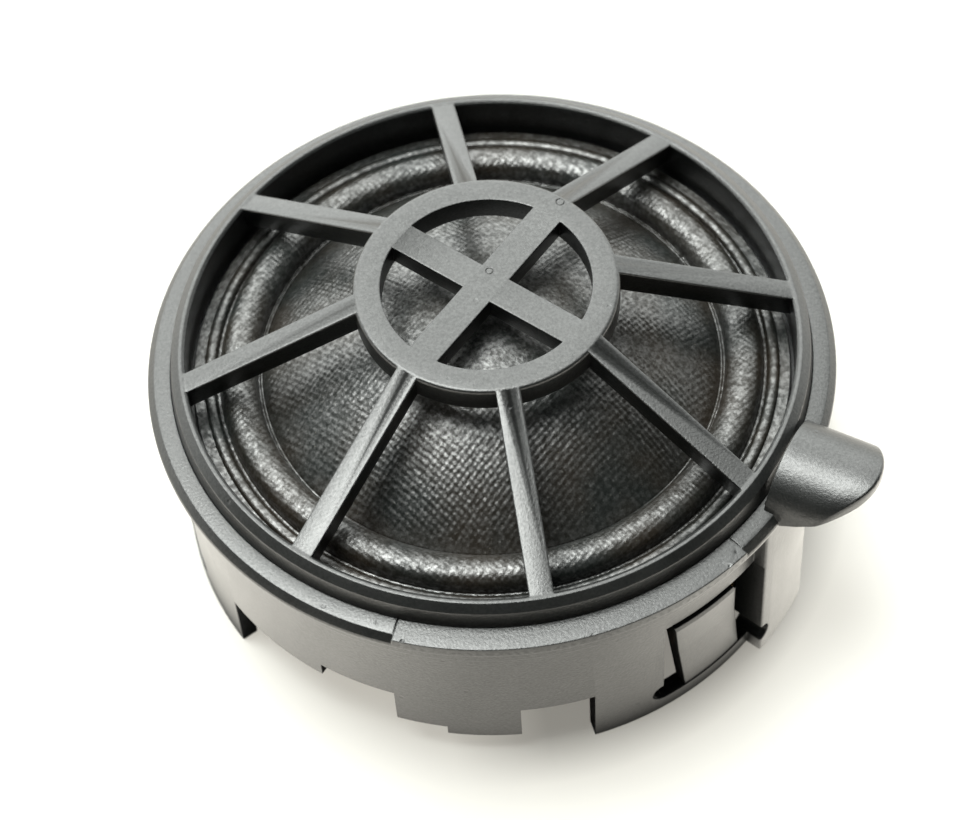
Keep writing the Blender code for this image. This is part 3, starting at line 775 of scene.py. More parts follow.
def make_tab():
    """The half-round thumb tab: crowned tip, softened edge, and a lower edge that rises to it."""
    root, tip = TAB_R
    length = tip - root
    stations = [(root + length * share, 0.0) for share in (0.0, 0.25, 0.5, 0.75)]
    for k in range(6):
        a = math.pi / 2 * k / 5
        stations.append((tip - TAB_EDGE * (1 - math.sin(a)), TAB_EDGE * (1 - math.cos(a))))
    sections = [[(x - TAB_CROWN[y > 0.0] * y * y * (x - root) / length, y, z)
                 for y, z in tab_section(inset)] for x, inset in stations]
    count = len(sections[0])
    end = [[i, i + 1, count - 2 - i, count - 1 - i] for i in range(count // 2 - 1)]
    tab = loft("thumb_tab", sections, end=end)
    beyond, side, below = tip + 1, TAB_HALF_WIDTH + 1, -1
    wedge = prism("tab_lift", [(TAB_LIFT_FROM, 0.0), (TAB_LIFT_FROM, below), (beyond, below),
                               (beyond, TAB_LIFT * (beyond - TAB_LIFT_FROM))], -side, side, axis="Y")
    return turned(combine(tab, cuts=[wedge]), TAB_ANGLE)


def skirt_cutters():
    def band(name, start, end, bottom, top):
        outline = ring_outline(SKIRT_INNER_R - 0.5, FLANGE_R + 1, bottom, top)
        return sweep(name, outline, start, end)

    edges = [band(f"edge_{i}", start - OVERLAP, end + OVERLAP, FLOOR_Z - 1, z)
             for i, (start, end, z) in enumerate(SKIRT_EDGE)]
    windows = []
    for i, angle in LATCH_ANGLES.items():
        low, high = (angle + side for side in WINDOW_SPAN)
        windows.append(band(f"window_{i}", low, high, *WINDOW_Z))
        for side, at in (("a", low), ("b", high)):
            windows.append(rod(f"keyhole_{i}{side}", polar(SKIRT_INNER_R - 1, at, KEYHOLE_Z),
                               polar(FLANGE_R, at, KEYHOLE_Z), KEYHOLE_R))
    return edges, windows


def make_chip(name, place, size, seed):
    """A small ragged lump that bites a chip out of an edge."""
    draw = random.Random(seed)
    bm = bmesh.new()
    bmesh.ops.create_icosphere(bm, subdivisions=2, radius=size)
    for vert in bm.verts:
        vert.co *= 1.0 + draw.uniform(-0.3, 0.3)
        vert.co.z *= 0.6
    bmesh.ops.translate(bm, verts=bm.verts, vec=place)
    return from_bmesh(bm, name)


def rim_marks():
    """Witness lines at both ends of the square-edged rim, and small chips beside them."""
    cutters = []
    for i, angle in enumerate(WIDE_RIM):
        line = block(f"seam_{i}", (RIM_IN_R - 0.3, -0.04, RIM_Z - 0.09),
                     (FLANGE_R + 0.3, 0.04, RIM_Z + 0.2))
        cutters.append(turned(line, angle))
    chips = ((-113.2, 20.9, 0.20), (-57.5, 20.95, 0.24), (-55.4, 20.55, 0.13), (-118.0, 20.2, 0.10))
    for i, (angle, radius, size) in enumerate(chips):
        cutters.append(make_chip(f"chip_{i}", polar(radius, angle, RIM_Z + 0.04), size, i))
    return cutters


def slot_cutters():
    """Clearance through the shelf for the two terminal strips."""
    gap = 0.2
    return [turned(block(f"slot_{sign}", (STRIP_R - gap, -STRIP_HALF - gap, SHELF_BOTTOM - 2),
                         (STRIP_R + STRIP_T + gap, STRIP_HALF + gap, SHELF_TOP + 1)), angle)
            for sign, angle in STRIP_ANGLES.items()]


def make_posts():
    """Board posts with their heat-staked heads."""
    posts = []
    head = 0.42
    for i, angle in enumerate(POST_ANGLES):
        posts.append(rod(f"post_{i}", polar(POST_AT, angle, BOARD_Z[1] + 0.05),
                         polar(POST_AT, angle, SHELF_BOTTOM + 0.5), POST_R))
        stake = lathe(f"stake_{i}", rounded([
            (0.0, BOARD_Z[0] - head, 0.0), (0.62, BOARD_Z[0] - head, 0.3),
            (0.85, BOARD_Z[0] - 0.04, 0.05), (STAKE_R, BOARD_Z[0] - 0.04),
            (STAKE_R, SHELF_BOTTOM + 0.5), (0.0, SHELF_BOTTOM + 0.5, 0.0)], 0.02), steps=32)
        posts.append(moved(stake, polar(STAKE_AT, angle, 0.0)))
    return posts


def make_housing():
    """Flange, stepped and notched skirt, inner shelf, thumb tab, key, gate nub and posts."""
    shell = lathe("housing_shell", rounded([
        (RIM_IN_R, RIM_Z + 0.05, 0.02), (RIM_OUT_R, RIM_Z - 0.03, 0.2),
        (20.57, 0.73, 0.05), (20.96, 0.33, 0.05),
        (FLANGE_R, 0.22, 0.03), (FLANGE_R, 0.0, 0.04),
        (SKIRT_TOP_R, 0.0, 0.0),
        (SKIRT_TOP_R, SKIRT_STEP_Z, 0.05), (SKIRT_R, SKIRT_STEP_Z - 0.25, 0.08),
        (SKIRT_BOTTOM_R, FLOOR_Z, 0.12), (SKIRT_INNER_R, FLOOR_Z, 0.12),
        (SKIRT_INNER_R, SHELF_BOTTOM, 0.2), (COLLAR_R[1], SHELF_BOTTOM, 0.2),
        (COLLAR_R[1], COLLAR_BOTTOM, 0.12), (COLLAR_R[0], COLLAR_BOTTOM, 0.12),
        (COLLAR_R[0], SHELF_TOP, 0.1), (RIM_IN_R, SHELF_TOP, 0.1),
    ], 0.05), BLACK, steps=TURN + 48)
    rim = sweep("square_rim", rounded([
        (RIM_OUT_R - 0.2, 0.08), (FLANGE_R, 0.08),
        (FLANGE_R, RIM_Z - 0.06, 0.06), (RIM_OUT_R - 0.2, RIM_Z - 0.008, 0.0)], 0.05),
        *WIDE_RIM)
    key = bevelled(sweep("locating_key", ring_outline(RIM_IN_R + 0.03, KEY_R, FLOOR_Z + 0.01, 0.3),
                         *KEY_ANGLES), 0.14)
    nub = rod("gate_nub", polar(19.9, NUB_ANGLE, 0.3), polar(19.9, NUB_ANGLE, 0.98), 0.17)
    edges, windows = skirt_cutters()
    combine(shell, adds=[rim, make_tab(), key, bevelled(nub, 0.07)],
            cuts=edges + windows + slot_cutters() + rim_marks())
    combine(shell, adds=make_posts())
    return show(shell, "outer_housing", slot="black_plastic")


def make_latch(index, angle):
    """A barbed tongue, turned a little differently at its root and its top, standing for the latch's CAD
    node.
    """
    inner, outer = LATCH_R
    bottom, top = LATCH_Z
    knee = top - BARB_SLOPE
    outline = [(inner, bottom, 0.0), (outer - LATCH_TAPER, bottom, 0.0), (outer, knee, 1.2),
               (BARB_R, top - 0.3, 0.05), (BARB_R - 0.1, top, 0.05), (inner, top, 0.1)]
    levels = [bottom + (knee - bottom) * k / 24 for k in range(1, 24)]
    face = rounded(outline, 0.05)
    inside = [(inner, z) for z in levels[::-1]]
    outside = [(outer - LATCH_TAPER * (1 - (z - bottom) / (knee - bottom)), z) for z in levels]
    split = next(i for i, p in enumerate(face) if p[1] > bottom + 1e-4)
    tongue = sweep(f"latch_tongue_{index}", face[:split] + outside + face[split:] + inside,
                   angle - LATCH_HALF, angle + LATCH_HALF, BLACK)
    for vert in tongue.data.vertices:
        share = (vert.co.z - bottom) / (top - bottom)
        lean = LATCH_LEAN[0] + (LATCH_LEAN[1] - LATCH_LEAN[0]) * share
        vert.co.rotate(Matrix.Rotation(math.radians(lean), 3, "Z"))
    raise_seat(bevelled(tongue, 0.07))
    low, high = (polar(outer, angle, z + SEAT_Z) * MM for z in BEND_Z)
    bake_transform(tongue)
    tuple(low)
    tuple(high)
    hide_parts(f"snap_latch_{index}")


# ---------------------------------------------------------------- woven diaphragm

def thread_share(index):
    """A repeatable number from 0 to 1 for each thread."""
    value = np.sin(index * 12.9898) * 43758.5453
    return value - np.floor(value)


def weave(x, y):
    """Height from 0 to 1 of a plain weave at a point of the flat cloth."""
    c, s = math.cos(WEAVE_ANGLE), math.sin(WEAVE_ANGLE)
    u, v = (x * c + y * s) / PITCH, (y * c - x * s) / PITCH
    column, row = np.floor(u), np.floor(v)
    a, b = u - column - 0.5, v - row - 0.5
    over = (column + row) % 2 == 0
    across, along = np.where(over, a, b), np.where(over, b, a)
    thread = np.where(over, thread_share(column), thread_share(row + 91.0))
    knot = thread_share(column * 7.0 + row * 3.0)
    lean = (knot - 0.5) * a + (thread_share(column * 5.0 - row * 11.0) - 0.5) * b
    crown = np.sqrt(np.clip(1 - (1.9 * across) ** 2, 0, 1)) * np.cos(0.92 * math.pi * along)
    return crown * (0.72 + 0.18 * thread + 0.10 * knot + 1.2 * lean)


def woven_mesh(name, points, faces):
    mesh = bpy.data.meshes.new(name)
    mesh.from_pydata(points, [], faces)
    mesh.update()
    return shade(link_mesh(name, mesh, CLOTH), 75.0)


def dome_height(radius):
    rise = DOME_APEX - DOME_EDGE_Z
    sphere = (DOME_R ** 2 + rise ** 2) / (2 * rise)
    return DOME_APEX - sphere + np.sqrt(sphere ** 2 - radius ** 2), sphere


def make_dome():
    """The woven dome: a grid laid along the threads, trimmed to a circle, closed underneath."""
    step = PITCH / THREAD_STEPS
    half = int(DOME_R / step) + 2
    ticks = (np.arange(-half, half) + 0.5) * step
    u, v = np.meshgrid(ticks, ticks, indexing="ij")
    c, s = math.cos(WEAVE_ANGLE), math.sin(WEAVE_ANGLE)
    x, y = u * c - v * s, u * s + v * c
    radius = np.hypot(x, y)
    inside = radius < DOME_R - 0.5 * step
    whole = inside[:-1, :-1] & inside[1:, :-1] & inside[1:, 1:] & inside[:-1, 1:]
    grid = np.arange(u.size).reshape(u.shape)
    quads = np.stack([grid[:-1, :-1], grid[1:, :-1], grid[1:, 1:], grid[:-1, 1:]], -1)[whole]
    used, quads = np.unique(quads, return_inverse=True)
    quads = quads.reshape(-1, 4)
    x, y, radius = x.ravel()[used], y.ravel()[used], radius.ravel()[used]
    z, sphere = dome_height(radius)
    lift = WEAVE_HEIGHT * (weave(x, y) - 0.6) * np.clip((DOME_R - radius) / DOME_FLAT_RIM, 0.15, 1.0)
    lift *= np.interp(radius, CROWN_SMOOTH, (0.15, 1.0))
    centre = DOME_APEX - sphere
    points = np.stack([x, y, z], -1)
    outward = (points - (0, 0, centre)) / sphere
    points = points + outward * lift[:, None]

    edges = np.concatenate([quads[:, [0, 1]], quads[:, [1, 2]], quads[:, [2, 3]], quads[:, [3, 0]]])
    key = np.sort(edges, axis=1)
    _, first, count = np.unique(key, axis=0, return_index=True, return_counts=True)
    following = dict(map(tuple, edges[first[count == 1]]))
    loop = [next(iter(following))]
    while following[loop[-1]] != loop[0]:
        loop.append(following[loop[-1]])
    bearing = np.arctan2(y[loop], x[loop])
    faces = quads.tolist()
    previous = loop
    total = len(loop)
    under = DOME_EDGE_Z - CLOTH_T
    rings = [(DOME_R, DOME_EDGE_Z), (DOME_R, under + 0.02)]
    for share in (0.975, 0.85, 0.6, 0.35, 0.12):
        rings.append((DOME_R * share, float(dome_height(DOME_R * share)[0]) - CLOTH_T))
    all_points = [points]
    size = len(points)
    for r, height in rings:
        ring = list(range(size, size + total))
        all_points.append(np.stack([r * np.cos(bearing), r * np.sin(bearing), np.full(total, height)], -1))
        size += total
        faces += [[previous[(k + 1) % total], previous[k], ring[k], ring[(k + 1) % total]]
                  for k in range(total)]
        previous = ring
    all_points.append(np.array([[0.0, 0.0, DOME_APEX - CLOTH_T]]))
    faces += [[previous[(k + 1) % total], previous[k], size] for k in range(total)]
    dome = woven_mesh("woven_dome", np.concatenate(all_points).tolist(), faces)
    return show(dome, "diaphragm_dome", body="diaphragm", slot="coated_cloth")


def half_roll(inner, outer, height, count):
    middle, half = (inner + outer) / 2, (outer - inner) / 2
    angles = [math.pi * (1 - k / count) for k in range(count + 1)]
    return [(middle + half * math.cos(a), CLOTH_TOP + height * math.sin(a) ** ROLL_FULLNESS) for a in angles]


def resample(path, step):
    """Even steps along an open path, whose corners are kept only roughly."""
    line = np.array(path)
    lengths = np.concatenate([[0.0], np.cumsum(np.hypot(*np.diff(line, axis=0).T))])
    count = int(lengths[-1] / step)
    at = np.linspace(0.0, lengths[-1], count + 1)
    return np.stack([np.interp(at, lengths, line[:, 0]), np.interp(at, lengths, line[:, 1])], -1), at


def make_surround():
    """Half roll and outer ridge in the same cloth, with the raised joint line at the dome's edge."""
    inner = DOME_R - 0.02
    bead = [(inner + 0.19 * k / 6, CLOTH_TOP + 0.085 * math.sin(math.pi * k / 6)) for k in range(7)]
    path = bead + half_roll(*ROLL_R, ROLL_HEIGHT, 40) + half_roll(*RIDGE_R, RIDGE_HEIGHT, 16)
    path.append((CLOTH_OUT_R, CLOTH_TOP))
    line, reach = resample(path, SURROUND_STEP)
    slope = np.gradient(line, axis=0)
    slope /= np.hypot(*slope.T)[:, None]
    normal = np.stack([-slope[:, 1], slope[:, 0]], -1)
    steps = SURROUND_TURN
    angles = np.arange(steps) * math.tau / steps
    flat_r = (inner + reach)[:, None]
    lift = WEAVE_HEIGHT * (weave(flat_r * np.cos(angles), flat_r * np.sin(angles)) - 0.6)
    away = np.clip((reach - 0.12) / 0.25, 0.0, 1.0)[:, None]
    away = away * np.clip((RIDGE_R[0] + 0.3 - line[:, 0, None]) / 0.3, 0.3, 0.7)
    lift = lift * away
    r = line[:, 0, None] + normal[:, 0, None] * lift
    z = line[:, 1, None] + normal[:, 1, None] * lift
    under, _ = resample(path[::-1], 0.5)
    under_slope = np.gradient(under, axis=0)
    under_slope /= np.hypot(*under_slope.T)[:, None]
    under = under + np.stack([-under_slope[:, 1], under_slope[:, 0]], -1) * CLOTH_T
    under[0], under[-1] = (CLOTH_OUT_R, CLOTH_TOP - CLOTH_T), (inner + 0.02, CLOTH_TOP - CLOTH_T)
    r = np.concatenate([r, np.repeat(under[:, 0, None], steps, 1)])
    z = np.concatenate([z, np.repeat(under[:, 1, None], steps, 1)])
    points = np.stack([r * np.cos(angles), r * np.sin(angles), z], -1).reshape(-1, 3)
    rows = len(r)
    grid = np.arange(rows * steps).reshape(rows, steps)
    after = np.roll(grid, -1, axis=0)
    corners = [grid, after, np.roll(after, -1, axis=1), np.roll(grid, -1, axis=1)]
    quads = np.stack(corners, -1).reshape(-1, 4)
    surround = woven_mesh("woven_surround", points.tolist(), quads.tolist())
    blend_by_radius(surround, ROLL_R[0] + 0.05, ROLL_R[1])
    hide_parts("diaphragm_surround")


def blend_by_radius(obj, moving_r, still_r):
    """Turns the piece into metres at its place in the part's frame and bakes that in. moving_r and still_r
    are not used.
    """
    raise_seat(obj)
    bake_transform(obj)


# ---------------------------------------------------------------- motor and coil

def make_ring():
    bottom, step, top = RING_Z
    inner, middle, outer = RING_R
    ring = lathe("carrier_ring", rounded([
        (inner, bottom), (outer, bottom), (outer, step), (middle, step, 0.03), (middle, top), (inner, top),
    ], 0.08), INNER)
    gap = STRIP_HALF + 0.2
    notches = [turned(block(f"notch_{sign}", (inner - 1, -gap, bottom - 1),
                            (STRIP_R + STRIP_T + 0.2, gap, STRIP_Z[1] + 0.15)), angle)
               for sign, angle in STRIP_ANGLES.items()]
    return show(combine(ring, cuts=notches), "diaphragm_ring", slot="black_plastic")


def make_coil():
    """Foil former with its butt joint, and two layers of round wire wound on it."""
    former = lathe("former_tube", rounded(ring_outline(*FORMER_R, *FORMER_Z), 0.03, 2), FOIL)
    slit = block("butt_joint", (FORMER_R[0] - 1, -0.05, FORMER_Z[0] - 1),
                 (FORMER_R[1] + 1, 0.05, COIL_Z[1] + 0.3))
    show(combine(former, cuts=[turned(slit, 200.0)]), "coil_former", body="diaphragm", slot="former_foil")
    low, high = COIL_Z[0] + COIL_WIRE_R, COIL_Z[1] - COIL_WIRE_R
    points, steps = [], 72
    for layer, radius in enumerate(COIL_LAYERS):
        for k in range(COIL_TURNS * steps + 1):
            share = k / (COIL_TURNS * steps)
            z = low + (high - low) * (1 - share if layer else share)
            points.append(polar(radius, 90.0 + 360.0 * k / steps, z))
    winding = tube("wound_coil", points, COIL_WIRE_R, COPPER, sides=8)
    show(winding, "voice_coil", body="diaphragm", slot="copper")


def make_motor():
    bottom, floor, rim = YOKE_Z
    inner, outer = YOKE_R
    grooves = []
    for k in range(5):
        r = outer - (1.6 + 1.9 * k)
        grooves += [(r - 0.09, bottom, 0.0), (r, bottom + 0.04, 0.0), (r + 0.09, bottom, 0.0)]
    grooves.sort()
    yoke = lathe("pressed_yoke", rounded(
        [(0.0, bottom + 0.25, 0.0), (1.0, bottom + 0.25, 0.1), (1.25, bottom, 0.1)]
        + grooves + [(outer, bottom, 0.5), (outer, rim, 0.18), (inner, rim, 0.18),
                     (inner, floor, 0.25), (0.0, floor, 0.0)], 0.05), STEEL)
    show(yoke, "yoke_cup", slot="zinc_steel")
    magnet = lathe("disc_magnet", rounded(disc_outline(MAGNET_R, *MAGNET_Z), 0.3), NICKEL)
    show(magnet, "magnet", slot="nickel")
    plate = lathe("top_plate", rounded(disc_outline(POLE_R, *POLE_Z), 0.12), STEEL)
    dimple = lathe("centre_dimple", [(0.0, POLE_Z[1] - 0.4), (0.5, POLE_Z[1] + 0.1),
                                     (0.0, POLE_Z[1] + 0.1)], steps=32)
    show(combine(plate, cuts=[dimple]), "pole_plate", slot="zinc_steel")


def make_pad():
    """Felt disc with a crowned top and a ragged fibrous surface."""
    bottom, top = PAD_Z
    radii = [PAD_R * k / 30 for k in range(31)]
    crown = [(r, top - 0.35 * (r / PAD_R) ** 6) for r in radii[::-1]]
    side = [(0.0, bottom), (PAD_R * 0.5, bottom), (PAD_R, bottom), (PAD_R, bottom + 0.5)]
    pad = lathe("felt_pad", side + crown, FELT, steps=120, degrees=60.0)
    draw = random.Random(7)
    for vert in pad.data.vertices:
        if vert.co.z > bottom + 0.1:
            vert.co.z -= draw.uniform(0.0, 0.06)
            vert.co.xy *= 1.0 - draw.uniform(0.0, 0.004)
    show(pad, "damping_pad", slot="felt")


# ---------------------------------------------------------------- terminals

def make_strip(sign, angle):
    """Sheet brass bent into an L."""
    low, top = STRIP_Z
    outline = rounded([
        (STRIP_IN_R, top - STRIP_T), (STRIP_R, top - STRIP_T, 0.1), (STRIP_R, low),
        (STRIP_R + STRIP_T, low), (STRIP_R + STRIP_T, top, 0.38), (STRIP_IN_R, top),
    ], 0.03, 5)
    strip = prism(f"brass_strip_{sign}", outline, -STRIP_HALF, STRIP_HALF, BRASS, axis="Y")
    show(turned(bevelled(strip, 0.05, 2), angle), f"terminal_strip_{sign}", slot="tinned_brass")


def make_lead(sign, angle):
    """Tinsel lead: strands twisted round a slack path between the coil and the strip."""
    strands = []
    count, turns = 48, 7
    start, end = LEAD_SPAN
    for strand in range(3):
        points = []
        for i in range(count + 1):
            share = i / count
            phase = math.tau * (turns * share + strand / 3)
            offset = LEAD_R * 0.5
            z = LEAD_Z - LEAD_SAG * math.sin(math.pi * share) + offset * math.sin(phase)
            sideways = Vector((-math.sin(math.radians(angle)), math.cos(math.radians(angle)), 0))
            place = polar(start + share * (end - start), angle, z)
            points.append(place + sideways * offset * math.cos(phase))
        strands.append(tube(f"strand_{strand}", points, LEAD_R * 0.5, sides=8))
    lead = join_meshes(f"tinsel_lead_{sign}", strands, COPPER)
    blend_by_radius(lead, LEAD_SPAN[0], LEAD_SPAN[1])
    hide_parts(f"lead_wire_{sign}")


def solder_cone(name, place, radius, height, down=False):
    """A small solder fillet standing on the board."""
    profile = [(0.0, 0.0)] + [(radius * (1 - 0.72 * t), height * t ** 1.8) for t in
                              [k / 6 for k in range(7)]] + [(0.0, height * 1.06)]
    cone = lathe(name, profile, steps=28, degrees=70.0)
    if down:
        cone.data.transform(Matrix.Scale(-1, 4, (0, 0, 1)))
        cone.data.flip_normals()
    return moved(cone, place)


def make_board():
    """Phenolic board with its opening, holes, copper tracks and solder joints."""
    inner, outer = BOARD_R
    bottom, top = BOARD_Z
    board = lathe("terminal_disc", rounded(ring_outline(inner, outer, bottom, top), 0.06, 2), BOARD)
    y0, y1 = CAPACITOR_AT[0] - CUTOUT[1], CAPACITOR_AT[0] + CUTOUT[1]
    low, high = bottom - 1, top + 1
    cutters = [prism("opening", rounded(box_outline(-CUTOUT[0], y0, CUTOUT[0], y1), 0.6, 6), low, high)]
    notch = ring_outline(BOARD_NOTCH_R, outer + 1, low, high)
    cutters += [sweep(f"board_notch_{i}", notch, angle + BOARD_NOTCH_SPAN[0], angle + BOARD_NOTCH_SPAN[1])
                for i, angle in LATCH_ANGLES.items()]
    for i, angle in enumerate(POST_ANGLES):
        ends = [polar(STAKE_AT, angle, z) for z in (low, high)]
        cutters.append(rod(f"stake_hole_{i}", *ends, STAKE_HOLE_R))
    for sign, side in PIN_SIDES.items():
        ends = [(side * PIN_X, PIN_LEG_Y, z) for z in (low, high)]
        cutters.append(rod(f"pin_hole_{sign}", *ends, PIN_HOLE_R))
    show(combine(board, cuts=cutters), "terminal_board", slot="laminate")
    make_tracks(bottom, top)


def make_tracks(bottom, top):
    """Copper tracks and solder on the board: strip to pin on top, capacitor pads underneath."""
    skin = 0.05
    tracks, joints = [], []
    for sign, side in PIN_SIDES.items():
        angle = STRIP_ANGLES[sign]
        foot = polar(STRIP_R + STRIP_T / 2, angle, 0.0)
        outline = rounded([(side * 0.95, 6.1), (side * 2.3, 6.1),
                           (side * 2.7, 15.8), (foot.x + side * 1.0, 16.6),
                           (foot.x + side * 0.9, 18.0 - 0.4), (foot.x - side * 0.9, 17.7),
                           (foot.x - side * 0.95, 16.4), (side * 0.95, 15.0)], 0.5)
        tracks.append(prism(f"track_{sign}", outline, top + 0.001, top + skin))
        joints.append(solder_cone(f"pin_joint_{sign}", (side * PIN_X, PIN_LEG_Y, top + skin), 0.85, 0.4))
        joints.append(solder_cone(f"strip_joint_{sign}", (foot.x, foot.y, top + skin), 0.62, 0.55))
        pad = circle_outline(side * CAP_WIRE_X, CAPACITOR_AT[0], 0.95)
        tracks.append(prism(f"pad_{sign}", pad, bottom - skin, bottom - 0.001))
        joints.append(solder_cone(f"wire_joint_{sign}", (side * CAP_WIRE_X, CAPACITOR_AT[0], bottom - skin),
                                  0.75, 0.5, down=True))
    show(join_meshes("copper_tracks", tracks, COPPER))
    show(join_meshes("solder_joints", joints, SOLDER))


def make_connector():
    """Two-way socket with a keyed mouth and a way through its back for each pin."""
    (y0, y1), (z0, z1), wall = CONNECTOR_Y, CONNECTOR_Z, CONNECTOR_WALL
    shell = prism("socket_shell", rounded(box_outline(-CONNECTOR_X, z0, CONNECTOR_X, z1), 0.35), y0, y1,
                  INNER, axis="Y")
    mouth = box_outline(-CONNECTOR_X + wall, z0 + wall, CONNECTOR_X - wall, z1 - wall)
    cavity = prism("cavity", rounded(mouth, 0.2), y0 + 1.2, y1 + 1, axis="Y")
    keyways = [block(f"keyway_{side}", (side * 2.6 - 0.35, y0 + 5, z0 + 0.35),
                     (side * 2.6 + 0.35, y1 + 1, z0 + 1.5)) for side in (-1, 1)]
    gap = PIN_HALF + 0.04
    ways = [block(f"way_{sign}", (side * PIN_X - gap, y0 - 1, PIN_Z - gap),
                  (side * PIN_X + gap, y0 + 2, PIN_Z + gap)) for sign, side in PIN_SIDES.items()]
    show(combine(bevelled(shell, 0.1), cuts=[cavity] + keyways + ways), "connector_housing",
         slot="black_plastic")
    for sign, side in PIN_SIDES.items():
        make_pin(sign, side * PIN_X)


def make_pin(sign, x):
    """A square pin bent from the board into the socket, its tip tapered."""
    bend = 0.55
    places = [(PIN_LEG_Y, PIN_TOP, (1, 0), 0.6), (PIN_LEG_Y, PIN_TOP - 0.2, (1, 0), 1.0)]
    for k in range(7):
        a = math.pi / 2 * k / 6
        places.append((PIN_LEG_Y + bend * (1 - math.cos(a)), PIN_Z + bend * (1 - math.sin(a)),
                       (math.cos(a), math.sin(a)), 1.0))
    places += [(PIN_TIP_Y - 0.8, PIN_Z, (0, 1), 1.0), (PIN_TIP_Y, PIN_Z, (0, 1), 0.45)]
    sections = []
    for y, z, across, size in places:
        half = PIN_HALF * size
        sections.append([(x + i * half, y + j * half * across[0], z + j * half * across[1])
                         for i, j in ((-1, -1), (1, -1), (1, 1), (-1, 1))])
    pin = bevelled(loft(f"square_pin_{sign}", sections, BRASS), 0.04, 2, 50.0)
    show(pin, f"connector_pin_{sign}", slot="tinned_brass")


def make_capacitor():
    """Axial capacitor: crimped can in a shrink sleeve, with end seals and bent wires."""
    half, radius = CAPACITOR_HALF, CAPACITOR_R
    outline = rounded([
        (0.0, -half + 0.15, 0.0), (radius - 0.75, -half + 0.15, 0.08),
        (radius - 0.6, -half, 0.1), (radius - 0.05, -half, 0.3),
        (radius - 0.05, -half + 1.0, 0.3), (radius - 0.4, -half + 1.35, 0.3),
        (radius, -half + 1.8, 0.3), (radius, half, 0.45),
        (radius - 0.7, half, 0.1), (radius - 0.85, half - 0.12, 0.05),
        (0.0, half - 0.12, 0.0)], 0.1, 5)
    body = lathe("sleeved_capacitor", outline, SLEEVE, steps=96)
    y, z = CAPACITOR_AT
    body.data.transform(Matrix.Translation((0, y, z)) @ Matrix.Rotation(math.pi / 2, 4, "Y"))
    wires = []
    for side in (-1, 1):
        bend = 0.7
        path = [(side * (half - 0.6), y, z), (side * (CAP_WIRE_X - bend), y, z)]
        path += [(side * (CAP_WIRE_X - bend * (1 - math.sin(a))), y, z + bend * (1 - math.cos(a)))
                 for a in (math.pi / 2 * k / 6 for k in range(1, 7))]
        path.append((side * CAP_WIRE_X, y, BOARD_Z[0] - 0.06))
        wires.append(tube(f"wire_{side}", path, CAP_WIRE_R))
    show(body, "crossover_capacitor", slot="sleeve")
    show(join_meshes("capacitor_wires", wires, BRASS))


# ---------------------------------------------------------------- stage

def make_camera():
    """Looks down at the grille from the front, turned a little about its own axis."""
    elevation, azimuth, roll = (math.radians(a) for a in (CAMERA_ELEVATION, CAMERA_AZIMUTH, CAMERA_ROLL))
    forward = Vector((0, math.cos(elevation), -math.sin(elevation)))
    level = Vector((1, 0, 0))
    up = level.cross(forward)
    right = level * math.cos(roll) + up * math.sin(roll)
    up = up * math.cos(roll) - level * math.sin(roll)
    place = -forward * CAMERA_DISTANCE + right * CAMERA_SHIFT[0] + up * CAMERA_SHIFT[1]
    axes = Matrix((right, up, -forward)).transposed().to_4x4()
    camera = bpy.data.objects.new("camera", bpy.data.cameras.new("camera"))
    bpy.context.scene.collection.objects.link(camera)
    turn = Matrix.Translation((0, 0, SEAT_Z * MM)) @ Matrix.Rotation(azimuth, 4, "Z")
    camera.matrix_world = turn @ Matrix.Translation(place) @ axes
    camera.data.lens = CAMERA_LENS
    camera.data.sensor_width = 36.0
    camera.data.clip_start, camera.data.clip_end = 0.01, 20.0
    focus = bpy.data.objects.new("focus", None)
    focus.location = Vector(FOCUS) + Vector((0, 0, SEAT_Z * MM))
    bpy.context.scene.collection.objects.link(focus)
    camera.data.dof.use_dof = True
    camera.data.dof.focus_object = focus
    camera.data.dof.aperture_fstop = CAMERA_STOP
    bpy.context.scene.camera = camera


# Soft lights of the studio: direction, cosines at which they fade in and are full, and brightness
GLOWS = (
    ((-0.08, 0.66, 0.74), 0.62, 0.95, 6.6),
    ((0.0, 1.0, 0.12), 0.60, 0.98, 1.8),
    ((-0.23, 0.10, 0.96), 0.925, 0.985, 24.0),
    ((-0.82, 0.54, 0.18), 0.80, 1.0, 2.8),
    ((0.82, 0.54, 0.18), 0.80, 1.0, 3.4),
)
AMBIENT = 0.15
LIGHT_COLOUR = (0.97, 1.0, 0.965, 1.0)
BACKDROP_COLOUR = (1.0, 1.0, 1.0, 1.0)


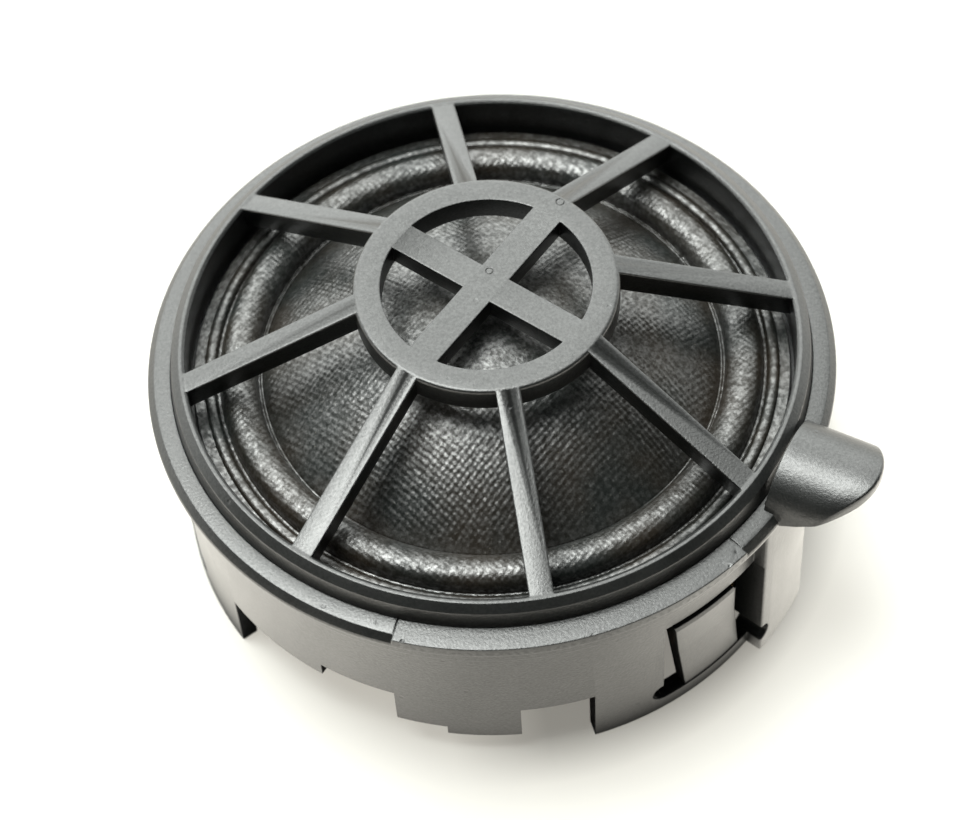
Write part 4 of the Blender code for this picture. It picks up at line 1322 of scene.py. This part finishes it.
def make_world():
    """Soft white glows that light the part, behind a plain backdrop that only the camera sees."""
    world = bpy.data.worlds.new("studio")
    world.use_nodes = True
    bpy.context.scene.world = world
    world.node_tree.nodes.clear()
    nodes = Nodes(world.node_tree)
    place = nodes.add("ShaderNodeTexCoord").outputs["Generated"]
    total = AMBIENT
    for direction, fade, full, amount in GLOWS:
        dot = nodes.add("ShaderNodeVectorMath", operation="DOT_PRODUCT")
        dot.inputs[1].default_value = Vector(direction).normalized()
        nodes.link(place, dot.inputs[0])
        soft = nodes.add("ShaderNodeMapRange", {"From Min": fade, "From Max": full, "To Max": amount},
                         interpolation_type="SMOOTHSTEP")
        nodes.link(dot.outputs["Value"], soft.inputs["Value"])
        total = nodes.maths("ADD", total, soft.outputs["Result"])
    light = nodes.add("ShaderNodeBackground", {"Color": LIGHT_COLOUR})
    nodes.link(total, light.inputs["Strength"])
    backdrop = nodes.add("ShaderNodeBackground", {"Color": BACKDROP_COLOUR})
    choose = nodes.add("ShaderNodeMixShader")
    nodes.link(nodes.add("ShaderNodeLightPath").outputs["Is Camera Ray"], choose.inputs["Fac"])
    nodes.link(light.outputs[0], choose.inputs[1])
    nodes.link(backdrop.outputs[0], choose.inputs[2])
    nodes.link(choose.outputs[0], nodes.add("ShaderNodeOutputWorld").inputs["Surface"])


def make_floor():
    bm = bmesh.new()
    bmesh.ops.create_circle(bm, cap_ends=True, segments=96, radius=6.0)
    bmesh.ops.translate(bm, verts=bm.verts, vec=(0, 0, (SEAT_Z + FLOOR_Z - 0.02) * MM))
    # a floor with painted light: its glow stands in for light, its contact shadow for shade
    floor = from_bmesh(bm, "paper_floor_painted_glow", PAINTED_LIGHT_PAPER)


bpy.context.scene.view_settings.view_transform = "Standard"
make_grille()
make_housing()
for index, angle in LATCH_ANGLES.items():
    make_latch(index, angle)
make_dome()
make_surround()
make_ring()
make_coil()
make_motor()
make_pad()
for sign, angle in STRIP_ANGLES.items():
    make_strip(sign, angle)
    make_lead(sign, angle)
make_board()
make_connector()
make_capacitor()
make_floor()
make_world()
make_camera()
